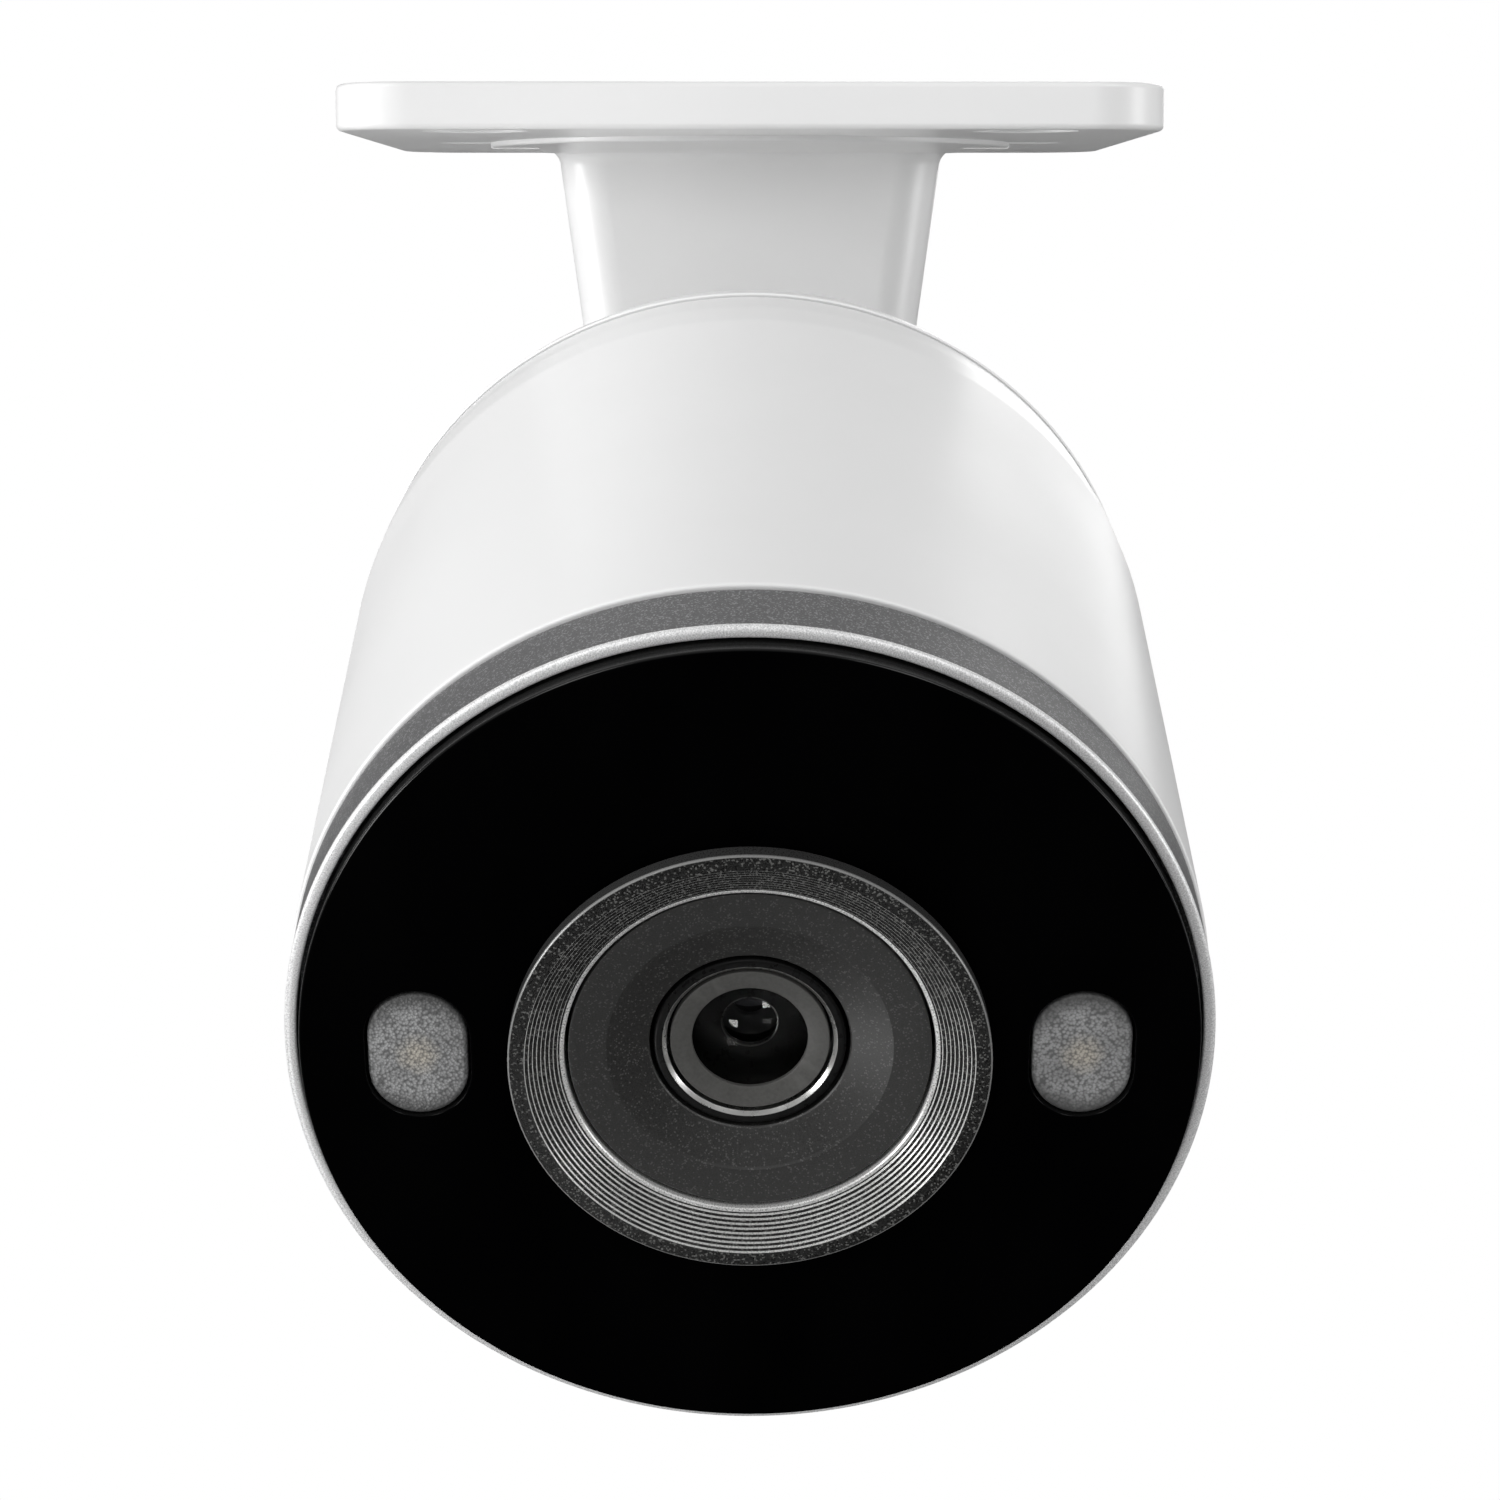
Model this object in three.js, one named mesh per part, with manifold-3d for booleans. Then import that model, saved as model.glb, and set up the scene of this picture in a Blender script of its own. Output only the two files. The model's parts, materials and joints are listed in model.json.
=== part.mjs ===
// Ceiling-mounted security camera: a square bracket with a tapered arm, a pan swivel,
// a tilt knuckle, a roll collar and a round camera body with a domed rear cap.
// Millimetres, +Z up. The origin is the middle of the face that meets the ceiling.
// The camera looks towards -Y and, at rest, points down by tiltRest.
import * as THREE from 'three';
import { mergeVertices } from 'three/addons/utils/BufferGeometryUtils.js';
import Module from 'manifold-3d';

const wasm = await Module();
wasm.setup();

// ---- driving dimensions ----------------------------------------------------------------
const gap = 0.3; // clearance between pieces that meet or turn on each other
const over = 1; // how far a cutting tool runs past what it cuts
const tiltRest = 20; // degrees below the horizontal

// bracket
const plateSize = 75;
const plateThickness = 4.2;
const plateCorner = 7;
const bossRadius = 26; // raised disc under the plate
const bossHeight = 0.5;
const bossY = 5;
const screwX = 24.9; // front fixing holes
const screwInset = 6;
const screwHoleRadius = 2.2;
const screwHeadRadius = 4.8;
const screwHeadDepth = 2;
const slotX = 26; // adjusting slots beside the boss
const slotY = 3;
const slotLength = 10;
const slotWidth = 3.8;
const armRootWidth = 40;
const armRootDepth = 16;
const armRootY = 27.5;
const armEndWidth = 35;
const armEndDepth = 13.4;
const armCorner = 5;
const armFillet = 1.8;
const armDrop = 24.1; // ceiling face to the arm's lower end
const panY = 25.5; // the pan axis, in the middle of the arm's lower end

// pivots
const boltRadius = 2; // M4 bolts
const boltHeadRadius = 3.5;
const boltHeadHeight = 2.4;
const socketAcross = 2.5;
const socketDepth = 1.4;
const nutAcross = 7;
const nutHeight = 3.2;
const washerThickness = 0.6;
const hubWall = 2.1; // round the pan bolt's hole
const hubHeight = 4.6;
const panHeadDepth = 11; // ceiling face to the top of the pan bolt's recess
const panHeadClearance = 0.4;
const yokeBar = 3.2;
const yokeArm = 6;
const yokeEyeMargin = 0.5; // the yoke's ends stand past the knuckle by this
const knuckleWidth = 8.8;
const knuckleRadius = 6;
const knuckleClearance = 0.5;
const stubRadius = 5;
const pivotStandoff = 24.8; // rear pole of the body to the tilt axis

// housing, from the face plane back
const bezelRadius = 36;
const bezelDepth = 6.5;
const bezelEdge = 0.7;
const shellStep = 0.25; // the shell stands out past the bezel
const shellSwell = 0.25; // the dome stands out past the shell's front
const domeCentre = 60.6;
const seamSetback = 8.2; // dome centre to the joint with the rear cap
const capProud = 0.25;
const wall = 2.4;
const spigotWall = 1.8;
const spigotLength = 4.2;
const sealSection = 0.45;
const sealFromShoulder = 1.9;

// window
const lipWidth = 0.95; // bezel lip round the window
const windowProud = 1.3;
const windowThickness = 2.7;
const gasketThickness = 0.6;
const seatWidth = 3.3;
const seatThickness = 1.7;
const boreRelief = 0.4; // the bezel's bore is wider than its spigot's wall leaves

// lens trim
const trimRadius = 18.6;
const trimProud = 1.8;
const trimFlat = 1.3;
const trimStepCount = 6;
const trimStep = 0.41;
const trimStepDrop = 0.3;
const trimLip = 0.5;
const trimSleeveWall = 1.4;
const trimSleeveLength = 3.6;
const baffleDrop = 0.4; // outer edge of the dish behind the last trim step
const baffleThickness = 0.9;
const baffleCollar = 2.4;
const baffleCollarWall = 1.2;

// lens
const barrelRadius = 7.5;
const barrelFront = 0.5; // front rim behind the face plane
const barrelHead = 8.5;
const barrelWall = 1;
const barrelNeckRadius = 6;
const barrelNeckLength = 6.4;
const retainerWidth = 1.7;
const retainerThickness = 0.7;
const frontGlassThickness = 1.6;
const frontGlassRise = 0.9;
const irisOpening = 2.1;
const irisThickness = 0.5;
const innerGlassRadius = 4.5;
const innerGlassThickness = 2.2;
const innerGlassRise = 0.6;
const barrelStop = 2.8; // opening between the front and rear bores
const rearGlassRadius = 3.6;
const rearGlassThickness = 2.4;
const rearGlassRise = 0.5;
const rearGlassSetback = 2; // behind the barrel's shoulder

// lamps
const lampInset = 5.3; // lamp window's outer side to the edge of the front window
const lampWidth = 7.7;
const lampHeight = 10.9;
const diffuserSink = 0.1;
const chipSize = 5;
const chipThickness = 0.8;
const cupWall = 0.7;
const cupFrontMargin = 0.9; // the reflector's mouth is wider than the lamp window
const cupBackRadius = 3.9;
const lampBoardThickness = 1.2;
const lampBoardSetback = 3.8; // behind the window's seat
const lampBoardReach = 1; // inside the edge of the window's hole

// frame, holder and sensor
const frameThickness = 2;
const frameRim = 7;
const frameRimWall = 1.6;
const frameClearance = 0.6;
const holderSize = 20;
const holderBase = 3.2;
const holderFloor = 1;
const holderTowerWall = 2.2;
const holderSetback = 0.9; // tower's front behind the barrel's shoulder
const holderCavity = 12;
const filterSize = 8.6;
const filterThickness = 0.5;
const filterSetback = 1.5; // behind the barrel
const sensorWidth = 8;
const sensorHeight = 6.4;
const sensorThickness = 1;
const sensorBoardSize = 38;
const boardThickness = 1.6;

// main and power boards
const standoffInset = 3; // from the sensor board's edge
const standoffLength = 11.4;
const standoffAcross = 5;
const boardScrewRadius = 1.2;
const boardScrewHead = 2.2;
const boardScrewHeadHeight = 1.3;
const screwTipShort = 2; // a screw ends this far before the bottom of its standoff
const lampScrewTip = 0.4; // a lamp board screw ends this far past the frame
const mainBoardMargin = 3.85; // inside the shell's bore
const processorSize = 14;
const processorThickness = 1.4;
const padThickness = 1;
const sinkSize = 34;
const sinkBase = 2;
const finHeight = 6;
const finThickness = 1.4;
const finCount = 6;
const powerStandoffInset = 3; // from the power board's edge
const powerStandoffLength = 17.5;
const powerBoardMargin = 4.75; // inside the rear cap's spigot
const inductorRadius = 4.5;
const inductorHeight = 5;
const capacitorRadius = 4;
const capacitorHeight = 9;
const powerPartsX = 11;
const powerPartsZ = 8;
const connectorWidth = 12;
const connectorHeight = 5;
const connectorDepth = 4;
const connectorZ = -12;

// roll collar on the rear cap
const collarRadius = 10;
const collarWall = 1.7;
const collarLength = 4.2;
const collarPad = 4.6;
const flangeThickness = 3;
const flangeSink = 1.2; // the flange's front inside the rear pole
const rollWasherThickness = 0.8;
const lockRingWall = 1.5;
const lockRingStart = 0.5;
const lockRingLength = 6.1;
const lockRingLip = 2.1;
const lockRingChamfer = 0.9;
const lockRingFlutes = 12;
const lockRingFlute = 0.9;

// cable gland
const glandOffset = 18; // below the body axis
const glandRadius = 4;
const glandBore = 2.6;
const glandTailWall = 0.8;
const glandTail = 7;
const glandHeadStep = 1.6;
const glandHeadThickness = 1.6;
const glandTaper = 0.6;
const glandBossMargin = 1.2;
const glandBossProud = 1.4;
const glandNutWall = 2.1;
const glandNutThickness = 2.4;

// sides on round pieces
const round = 32;
const medium = 20;
const small = 12;

// ---- derived places --------------------------------------------------------------------
const plateBottom = -plateThickness;
const armEnd = -armDrop;
const boltHole = boltRadius + gap;
const hubRadius = boltHole + hubWall;
const panSeat = -panHeadDepth - boltHeadHeight; // floor under the pan bolt's head
const barTop = armEnd - gap;
const barBottom = barTop - yokeBar;
const hubTop = barTop + hubHeight;
const yokeEyeRadius = knuckleRadius + yokeEyeMargin;
const tiltZ = barBottom - knuckleClearance - knuckleRadius;
const tiltWasher = knuckleWidth / 2 + gap;
const yokeInner = tiltWasher + washerThickness + gap;
const yokeOuter = yokeInner + yokeArm;

const shellFrontRadius = bezelRadius + shellStep;
const domeRadius = shellFrontRadius + shellSwell;
const capRadius = domeRadius + capProud;
const capSeam = domeCentre + seamSetback;
const pole = domeCentre + capRadius;
const tiltS = pole + pivotStandoff; // face plane to the tilt axis
const shellInner = shellFrontRadius - wall;
const capInner = capRadius - wall;
const spigotOuter = shellInner - gap;
const spigotInner = spigotOuter - spigotWall;
const bezelSpigotEnd = bezelDepth + spigotLength;
const sealRadius = shellInner - gap - sealSection;
const bezelBore = spigotInner - boreRelief;

const windowRadius = bezelRadius - lipWidth - gap;
const windowFront = -windowProud;
const windowBack = windowFront + windowThickness;
const gasketFront = windowBack + gap;
const seatFront = gasketFront + gasketThickness + gap;
const seatInner = windowRadius - seatWidth;
const lampOffset = windowRadius - lampInset - lampWidth / 2;

const trimFront = windowFront - trimProud;
const trimBack = windowFront - gap;
const trimStepsInner = trimRadius - trimFlat - trimStepCount * trimStep;
const trimStepsEnd = trimFront + trimStepCount * trimStepDrop;
const trimInner = trimStepsInner - trimLip;
const sleeveOuter = trimInner + trimSleeveWall;
const windowHole = sleeveOuter + gap;

const barrelShoulder = barrelFront + barrelHead;
const barrelEnd = barrelShoulder + barrelNeckLength;
const frontBore = barrelRadius - barrelWall;
const frontGlassRadius = frontBore - gap;
const retainerFront = barrelFront + gap;
const frontGlassFront = retainerFront + retainerThickness + gap;
const frontGlassBack = frontGlassFront + frontGlassThickness;
const irisFront = frontGlassBack + gap;
const innerGlassFront = irisFront + irisThickness + gap;
const innerGlassBack = innerGlassFront + innerGlassThickness;
const rearGlassFront = barrelShoulder + rearGlassSetback;

const filterFront = barrelEnd + filterSetback;
const filterBack = filterFront + filterThickness;
const sensorFront = filterBack + gap;
const sensorBack = sensorFront + sensorThickness;
const sensorBoardFront = sensorBack + gap;
const sensorBoardBack = sensorBoardFront + boardThickness;

const lampBoardFront = seatFront + lampBoardSetback;
const lampBoardBack = lampBoardFront + lampBoardThickness;
const lampBoardInner = windowHole - lampBoardReach;
const lampBoardOuter = bezelBore - gap;
const lampScrewCircle = (lampBoardInner + lampBoardOuter) / 2;
const frameFront = Math.max(bezelSpigotEnd, lampBoardBack) + gap;
const frameBack = frameFront + frameThickness;
const frameOuter = shellInner - gap;
const frameInner = holderSize / Math.sqrt(2) + frameClearance;

const screwHole = boardScrewRadius + gap;
const standoffCircle = sensorBoardSize / 2 - standoffInset;
const standoffStart = sensorBoardBack + gap;
const standoffEnd = standoffStart + standoffLength;
const mainFront = standoffEnd + gap;
const mainBack = mainFront + boardThickness;
const mainBoardRadius = shellInner - mainBoardMargin;
const processorFront = mainBack + gap;
const processorBack = processorFront + processorThickness;
const padFront = processorBack + gap;
const padBack = padFront + padThickness;
const sinkFront = padBack + gap;
const powerStandoffStart = mainBack + gap;
const powerStandoffEnd = powerStandoffStart + powerStandoffLength;
const powerFront = powerStandoffEnd + gap;
const powerBack = powerFront + boardThickness;
const powerBoardRadius = spigotInner - powerBoardMargin;
const powerPartsFront = powerBack + gap;

const flangeRadius = collarRadius - collarWall - gap;
const flangeFront = pole - flangeSink;
const flangeBack = flangeFront + flangeThickness;
const rollWasherBack = flangeFront - gap;
const rollWasherFront = rollWasherBack - rollWasherThickness;
const lockRingRadius = collarRadius + gap + lockRingWall;

const glandHead = glandRadius + glandHeadStep;
const glandNutInner = glandRadius + gap;
const glandNutRadius = glandNutInner + glandNutWall;
const glandBossRadius = glandHead + glandBossMargin;
const glandSeat = domeCentre + Math.sqrt(capRadius ** 2 - glandOffset ** 2) + glandBossProud;
// the boss reaches in until the nut clears the dome's inner wall
const glandBossStart = domeCentre + Math.sqrt(capInner ** 2 - (glandOffset + glandNutRadius) ** 2) - gap;
const glandNutBack = glandBossStart - gap;

// ---- geometry helpers ------------------------------------------------------------------

/** Merge shared vertices, drop collapsed triangles and turn every face outwards. */
function closed(geometry) {
  const bare = new THREE.BufferGeometry();
  bare.setAttribute('position', geometry.getAttribute('position').clone());
  if (geometry.index) bare.setIndex(geometry.index.clone());
  const merged = mergeVertices(bare, 1e-4);
  const source = merged.index.array;
  const at = merged.getAttribute('position');
  const a = new THREE.Vector3();
  const b = new THREE.Vector3();
  const c = new THREE.Vector3();
  const kept = [];
  let volume = 0;
  for (let i = 0; i < source.length; i += 3) {
    const [p, q, r] = [source[i], source[i + 1], source[i + 2]];
    if (p === q || q === r || r === p) continue;
    kept.push(p, q, r);
    a.fromBufferAttribute(at, p);
    b.fromBufferAttribute(at, q);
    c.fromBufferAttribute(at, r);
    volume += a.dot(b.cross(c));
  }
  if (volume < 0) {
    for (let i = 0; i < kept.length; i += 3) {
      [kept[i + 1], kept[i + 2]] = [kept[i + 2], kept[i + 1]];
    }
  }
  merged.setIndex(kept);
  return merged;
}

/** A closed geometry as a manifold solid, for joining and cutting. */
function solid(geometry) {
  const shape = closed(geometry);
  return new wasm.Manifold(new wasm.Mesh({
    numProp: 3,
    vertProperties: new Float32Array(shape.getAttribute('position').array),
    triVerts: new Uint32Array(shape.index.array),
  }));
}

/** A manifold solid back as three.js geometry. */
function geometryOf(body) {
  const mesh = body.getMesh();
  const geometry = new THREE.BufferGeometry();
  geometry.setAttribute('position', new THREE.BufferAttribute(mesh.vertProperties, 3));
  geometry.setIndex(new THREE.BufferAttribute(mesh.triVerts, 1));
  return geometry;
}

/** Points along an arc, from angle a0 to a1 in degrees. */
function arc(cx, cy, radius, a0, a1, steps) {
  const points = [];
  for (let i = 0; i <= steps; i++) {
    const angle = THREE.MathUtils.degToRad(a0 + (a1 - a0) * i / steps);
    points.push([cx + radius * Math.cos(angle), cy + radius * Math.sin(angle)]);
  }
  return points;
}

/** A ring or solid turned about the local Y axis from [radius, y] points. */
function turned(profile, sides) {
  const points = profile.map(([r, y]) => new THREE.Vector2(r, y));
  const first = profile[0];
  const last = profile[profile.length - 1];
  if (first[0] > 0 || last[0] > 0) points.push(new THREE.Vector2(first[0], first[1]));
  return new THREE.LatheGeometry(points, sides);
}

/** A plain ring about the local Y axis. */
function ring(inner, outer, y0, y1, sides) {
  return turned([[inner, y0], [outer, y0], [outer, y1], [inner, y1]], sides);
}

/** A plain solid disc about the local Y axis. */
function disc(radius, y0, y1, sides) {
  return turned([[0, y0], [radius, y0], [radius, y1], [0, y1]], sides);
}

/** A round seal about the local Y axis, with a six-sided section. */
function seal(y) {
  return turned(arc(sealRadius, y, sealSection, 0, 300, 5), round);
}

/** A box from its lowest to its highest corner. */
function box(x0, y0, z0, x1, y1, z1) {
  const geometry = new THREE.BoxGeometry(x1 - x0, y1 - y0, z1 - z0);
  return geometry.translate((x0 + x1) / 2, (y0 + y1) / 2, (z0 + z1) / 2);
}

/** A flat block that faces forward, centred on x and z. */
function slab(width, height, y0, y1, x = 0, z = 0) {
  return box(x - width / 2, y0, z - height / 2, x + width / 2, y1, z + height / 2);
}

/** An upright cylinder between two heights. */
function post(radius, z0, z1, sides, x = 0, y = 0) {
  return disc(radius, z0, z1, sides).rotateX(Math.PI / 2).translate(x, y, 0);
}

/** A hexagonal prism about the local Y axis, by its width across flats. */
function hexagon(across, y0, y1) {
  const corner = across / Math.sqrt(3);
  return new THREE.CylinderGeometry(corner, corner, y1 - y0, 6).translate(0, (y0 + y1) / 2, 0);
}

/** A rounded rectangle outline with the same number of points whatever its size. */
function roundedOutline(width, depth, corner, centreY) {
  const halfWidth = width / 2 - corner;
  const halfDepth = depth / 2 - corner;
  const points = [];
  const quarters = [[1, 1, 0], [-1, 1, 90], [-1, -1, 180], [1, -1, 270]];
  for (const [sx, sy, start] of quarters) {
    const turn = arc(sx * halfWidth, centreY + sy * halfDepth, corner, start, start + 90, 5);
    points.push(...turn);
  }
  return points;
}

/** A solid skinned over outlines at rising heights, closed by a flat cap at each end. */
function skinned(sections) {
  const count = sections[0].outline.length;
  const position = [];
  const index = [];
  for (const { outline, z } of sections) {
    for (const [x, y] of outline) position.push(x, y, z);
  }
  for (let level = 0; level < sections.length - 1; level++) {
    for (let i = 0; i < count; i++) {
      const j = (i + 1) % count;
      const low = level * count;
      const high = low + count;
      index.push(low + i, low + j, high + j, low + i, high + j, high + i);
    }
  }
  const top = (sections.length - 1) * count;
  for (let i = 1; i < count - 1; i++) {
    index.push(0, i + 1, i, top, top + i, top + i + 1);
  }
  const geometry = new THREE.BufferGeometry();
  geometry.setAttribute('position', new THREE.Float32BufferAttribute(position, 3));
  geometry.setIndex(index);
  return geometry;
}

/** The lamp window outline: two round ends joined by upright sides. */
function lampShape(extra) {
  const radius = lampWidth / 2 + extra;
  const centre = (lampHeight - lampWidth) / 2;
  const upper = arc(0, centre, radius, 0, 180, 12);
  const lower = arc(0, -centre, radius, 180, 360, 12);
  return new THREE.Shape([...upper, ...lower].map(([x, y]) => new THREE.Vector2(x, y)));
}

/** The lamp window outline as a prism between two places along the body axis. */
function lampPrism(extra, y0, y1, x) {
  const options = { depth: y1 - y0, bevelEnabled: false };
  const geometry = new THREE.ExtrudeGeometry(lampShape(extra), options);
  return geometry.rotateX(-Math.PI / 2).translate(x, y0, 0);
}

/** The solid of `body` after each geometry in `tools` is cut away. */
function cut(body, tools) {
  let result = body;
  for (const tool of tools) result = result.subtract(solid(tool));
  return result;
}

function paint(color, roughness, metalness) {
  return new THREE.MeshStandardMaterial({ color, roughness, metalness });
}

const finish = {
  whitePaint: paint(0xf0f0ee, 0.42, 0),
  greyMetal: paint(0x74767a, 0.45, 0.55),
  blackGloss: paint(0x060607, 0.06, 0),
  darkTrim: paint(0x3a3b3e, 0.4, 0.5),
  blackPlastic: paint(0x17181a, 0.55, 0),
  rubber: paint(0x121212, 0.85, 0),
  nylon: paint(0xe6e2d6, 0.6, 0),
  steel: paint(0xb8babd, 0.3, 1),
  aluminium: paint(0xc4c6c9, 0.4, 0.9),
  glass: paint(0x1b2433, 0.03, 0),
  diffuser: paint(0xb9b2a0, 0.5, 0),
  lamp: paint(0xf4e3b4, 0.5, 0),
  board: paint(0x1d5a35, 0.55, 0),
  chip: paint(0x1a1b1d, 0.5, 0),
};

const bracket = new THREE.Group();
const swivel = new THREE.Group();
const tilting = new THREE.Group();
const camera = new THREE.Group();

function add(group, name, geometry, material) {
  const mesh = new THREE.Mesh(closed(geometry), material);
  mesh.name = name;
  group.add(mesh);
}

// ---- bracket ---------------------------------------------------------------------------

/** The arm's outline at height z, spread by `extra` for the fillet at its root. */
function armOutline(z, extra) {
  const t = (plateBottom - z) / (plateBottom - armEnd);
  const width = THREE.MathUtils.lerp(armRootWidth, armEndWidth, t) + 2 * extra;
  const depth = THREE.MathUtils.lerp(armRootDepth, armEndDepth, t) + 2 * extra;
  return roundedOutline(width, depth, armCorner + extra, THREE.MathUtils.lerp(armRootY, panY, t));
}

function armSections() {
  const sections = [{ outline: armOutline(armEnd, 0), z: armEnd }];
  const filletSteps = 4;
  for (let i = 0; i <= filletSteps; i++) {
    const angle = i / filletSteps * Math.PI / 2;
    const z = plateBottom - armFillet * (1 - Math.sin(angle));
    sections.push({ outline: armOutline(z, armFillet * (1 - Math.cos(angle))), z });
  }
  sections.push({ outline: armOutline(plateBottom, armFillet), z: plateBottom + over });
  return sections;
}

/** A straight prism of one outline between two heights. */
function prism(outline, z0, z1) {
  return skinned([{ outline, z: z0 }, { outline, z: z1 }]);
}

function mountBracket() {
  const plate = solid(prism(roundedOutline(plateSize, plateSize, plateCorner, 0), plateBottom, 0));
  const boss = post(bossRadius, plateBottom - bossHeight, plateBottom + over, round, 0, bossY);
  const arm = solid(skinned(armSections()));
  const below = plateBottom - bossHeight - over;
  const screwY = screwInset - plateSize / 2;
  const slot = roundedOutline(slotLength, slotWidth, slotWidth / 2 - 0.01, slotY);
  const tools = [
    post(boltHeadRadius + panHeadClearance, panSeat, over, small, 0, panY),
    post(boltHole, armEnd - over, over, small, 0, panY),
    post(hubRadius + gap, armEnd - over, hubTop + gap + washerThickness + gap, small, 0, panY),
  ];
  for (const side of [-1, 1]) {
    const x = side * screwX;
    tools.push(
      post(screwHoleRadius, below, over, small, x, screwY),
      post(screwHeadRadius, below, plateBottom + screwHeadDepth, small, x, screwY),
      prism(slot, below, over).translate(side * slotX, 0, 0),
    );
  }
  return geometryOf(cut(plate.add(solid(boss)).add(arm), tools));
}

add(bracket, 'mount_bracket', mountBracket(), finish.whitePaint);

const panSpringWasher = ring(boltHole, boltHeadRadius, 0, washerThickness, small)
  .rotateX(Math.PI / 2)
  .translate(0, panY, panSeat + gap / 2);
add(bracket, 'pan_spring_washer', panSpringWasher, finish.steel);

const panFrictionWasher = ring(boltHole, hubRadius, 0, washerThickness, small)
  .rotateX(Math.PI / 2)
  .translate(0, panY, hubTop + gap);
add(bracket, 'pan_friction_washer', panFrictionWasher, finish.nylon);

// ---- pan swivel (local Z is the pan axis) ------------------------------------------------

/** A socket-head bolt along -Y: its head stands above y = 0, its shank runs below it. */
function bolt(length) {
  const head = solid(disc(boltHeadRadius, 0, boltHeadHeight, small));
  const shank = solid(disc(boltRadius, -length, boltHeadHeight / 2, small));
  const socket = hexagon(socketAcross, boltHeadHeight - socketDepth, boltHeadHeight + over);
  return geometryOf(cut(head.add(shank), [socket]));
}

/** The yoke's side outline, with a round lower end about the tilt axis, across the whole yoke. */
function yokeSide() {
  const rise = barTop - tiltZ;
  const side = new THREE.Shape();
  side.moveTo(yokeEyeRadius, rise);
  side.lineTo(-yokeEyeRadius, rise);
  side.absarc(0, 0, yokeEyeRadius, Math.PI, 2 * Math.PI, false);
  const options = { depth: 2 * yokeOuter, bevelEnabled: false, curveSegments: 14 };
  // the outline's x runs along Y and its y runs along Z
  const geometry = new THREE.ExtrudeGeometry(side, options);
  return geometry.rotateY(Math.PI / 2).rotateX(Math.PI / 2).translate(-yokeOuter, 0, tiltZ);
}

function swivelYoke() {
  const bottom = tiltZ - yokeEyeRadius - over;
  const reach = yokeEyeRadius + over;
  const hub = solid(post(hubRadius, barTop - over, hubTop, small));
  const headPocket = disc(boltHeadRadius + gap, yokeOuter - boltHeadHeight - gap, yokeOuter + over, small);
  const nutPocket = hexagon(nutAcross + 2 * gap, yokeOuter - nutHeight - gap, yokeOuter + over);
  const across = disc(boltHole, -yokeOuter - over, yokeOuter + over, small);
  const mouth = solid(box(-yokeInner, -reach, bottom, yokeInner, reach, barBottom));
  return geometryOf(cut(solid(yokeSide()).subtract(mouth).add(hub), [
    post(boltHole, barBottom - over, hubTop + over, small),
    across.rotateZ(-Math.PI / 2).translate(0, 0, tiltZ),
    headPocket.rotateZ(Math.PI / 2).translate(0, 0, tiltZ),
    nutPocket.rotateZ(-Math.PI / 2).translate(0, 0, tiltZ),
  ]));
}

add(swivel, 'swivel_yoke', swivelYoke(), finish.whitePaint);

const panHeadZ = panSeat + gap / 2 + washerThickness + gap / 2;
const panBolt = bolt(panHeadZ - barBottom - gap).rotateX(Math.PI / 2).translate(0, 0, panHeadZ);
add(swivel, 'pan_bolt', panBolt, finish.steel);

const tiltHeadX = yokeOuter - boltHeadHeight;
const tiltBolt = bolt(tiltHeadX + yokeOuter - gap).rotateZ(Math.PI / 2).translate(-tiltHeadX, 0, tiltZ);
add(swivel, 'tilt_bolt', tiltBolt, finish.steel);

const nutBore = disc(boltHole, -over, nutHeight + over, small);
const tiltNut = geometryOf(cut(solid(hexagon(nutAcross, 0, nutHeight)), [nutBore]))
  .rotateZ(-Math.PI / 2)
  .translate(yokeOuter - nutHeight, 0, tiltZ);
add(swivel, 'tilt_nut', tiltNut, finish.steel);

for (const [name, side] of [['tilt_washer_left', -1], ['tilt_washer_right', 1]]) {
  const washer = ring(boltHole, knuckleRadius, 0, washerThickness, small)
    .rotateZ(-Math.PI / 2 * side)
    .translate(side * tiltWasher, 0, tiltZ);
  add(swivel, name, washer, finish.nylon);
}

// ---- tilt knuckle and roll collar (local Y runs back along the body axis) ----------------

/** A disc across the body axis at the tilt axis, as wide as `width`. */
function acrossTilt(radius, width, sides) {
  return disc(radius, -width / 2, width / 2, sides).rotateZ(-Math.PI / 2).translate(0, tiltS, 0);
}

function tiltKnuckle() {
  const flange = solid(disc(flangeRadius, flangeFront, flangeBack, medium));
  const stub = solid(disc(stubRadius, flangeBack - over, tiltS, medium));
  const eye = solid(acrossTilt(knuckleRadius, knuckleWidth, medium));
  const trims = [];
  for (const side of [-1, 1]) {
    const x = side * (knuckleWidth / 2 + stubRadius);
    const length = 2 * (knuckleRadius + over);
    trims.push(slab(2 * stubRadius, 2 * flangeRadius, tiltS - length / 2, tiltS + length / 2, x));
  }
  const hole = acrossTilt(boltHole, knuckleWidth + 2 * over, small);
  return geometryOf(cut(flange.add(stub).add(eye), [...trims, hole]));
}

add(tilting, 'tilt_knuckle', tiltKnuckle(), finish.whitePaint);

const rollWasher = ring(stubRadius, flangeRadius, rollWasherFront, rollWasherBack, medium);
add(camera, 'roll_friction_washer', rollWasher, finish.nylon);

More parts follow.
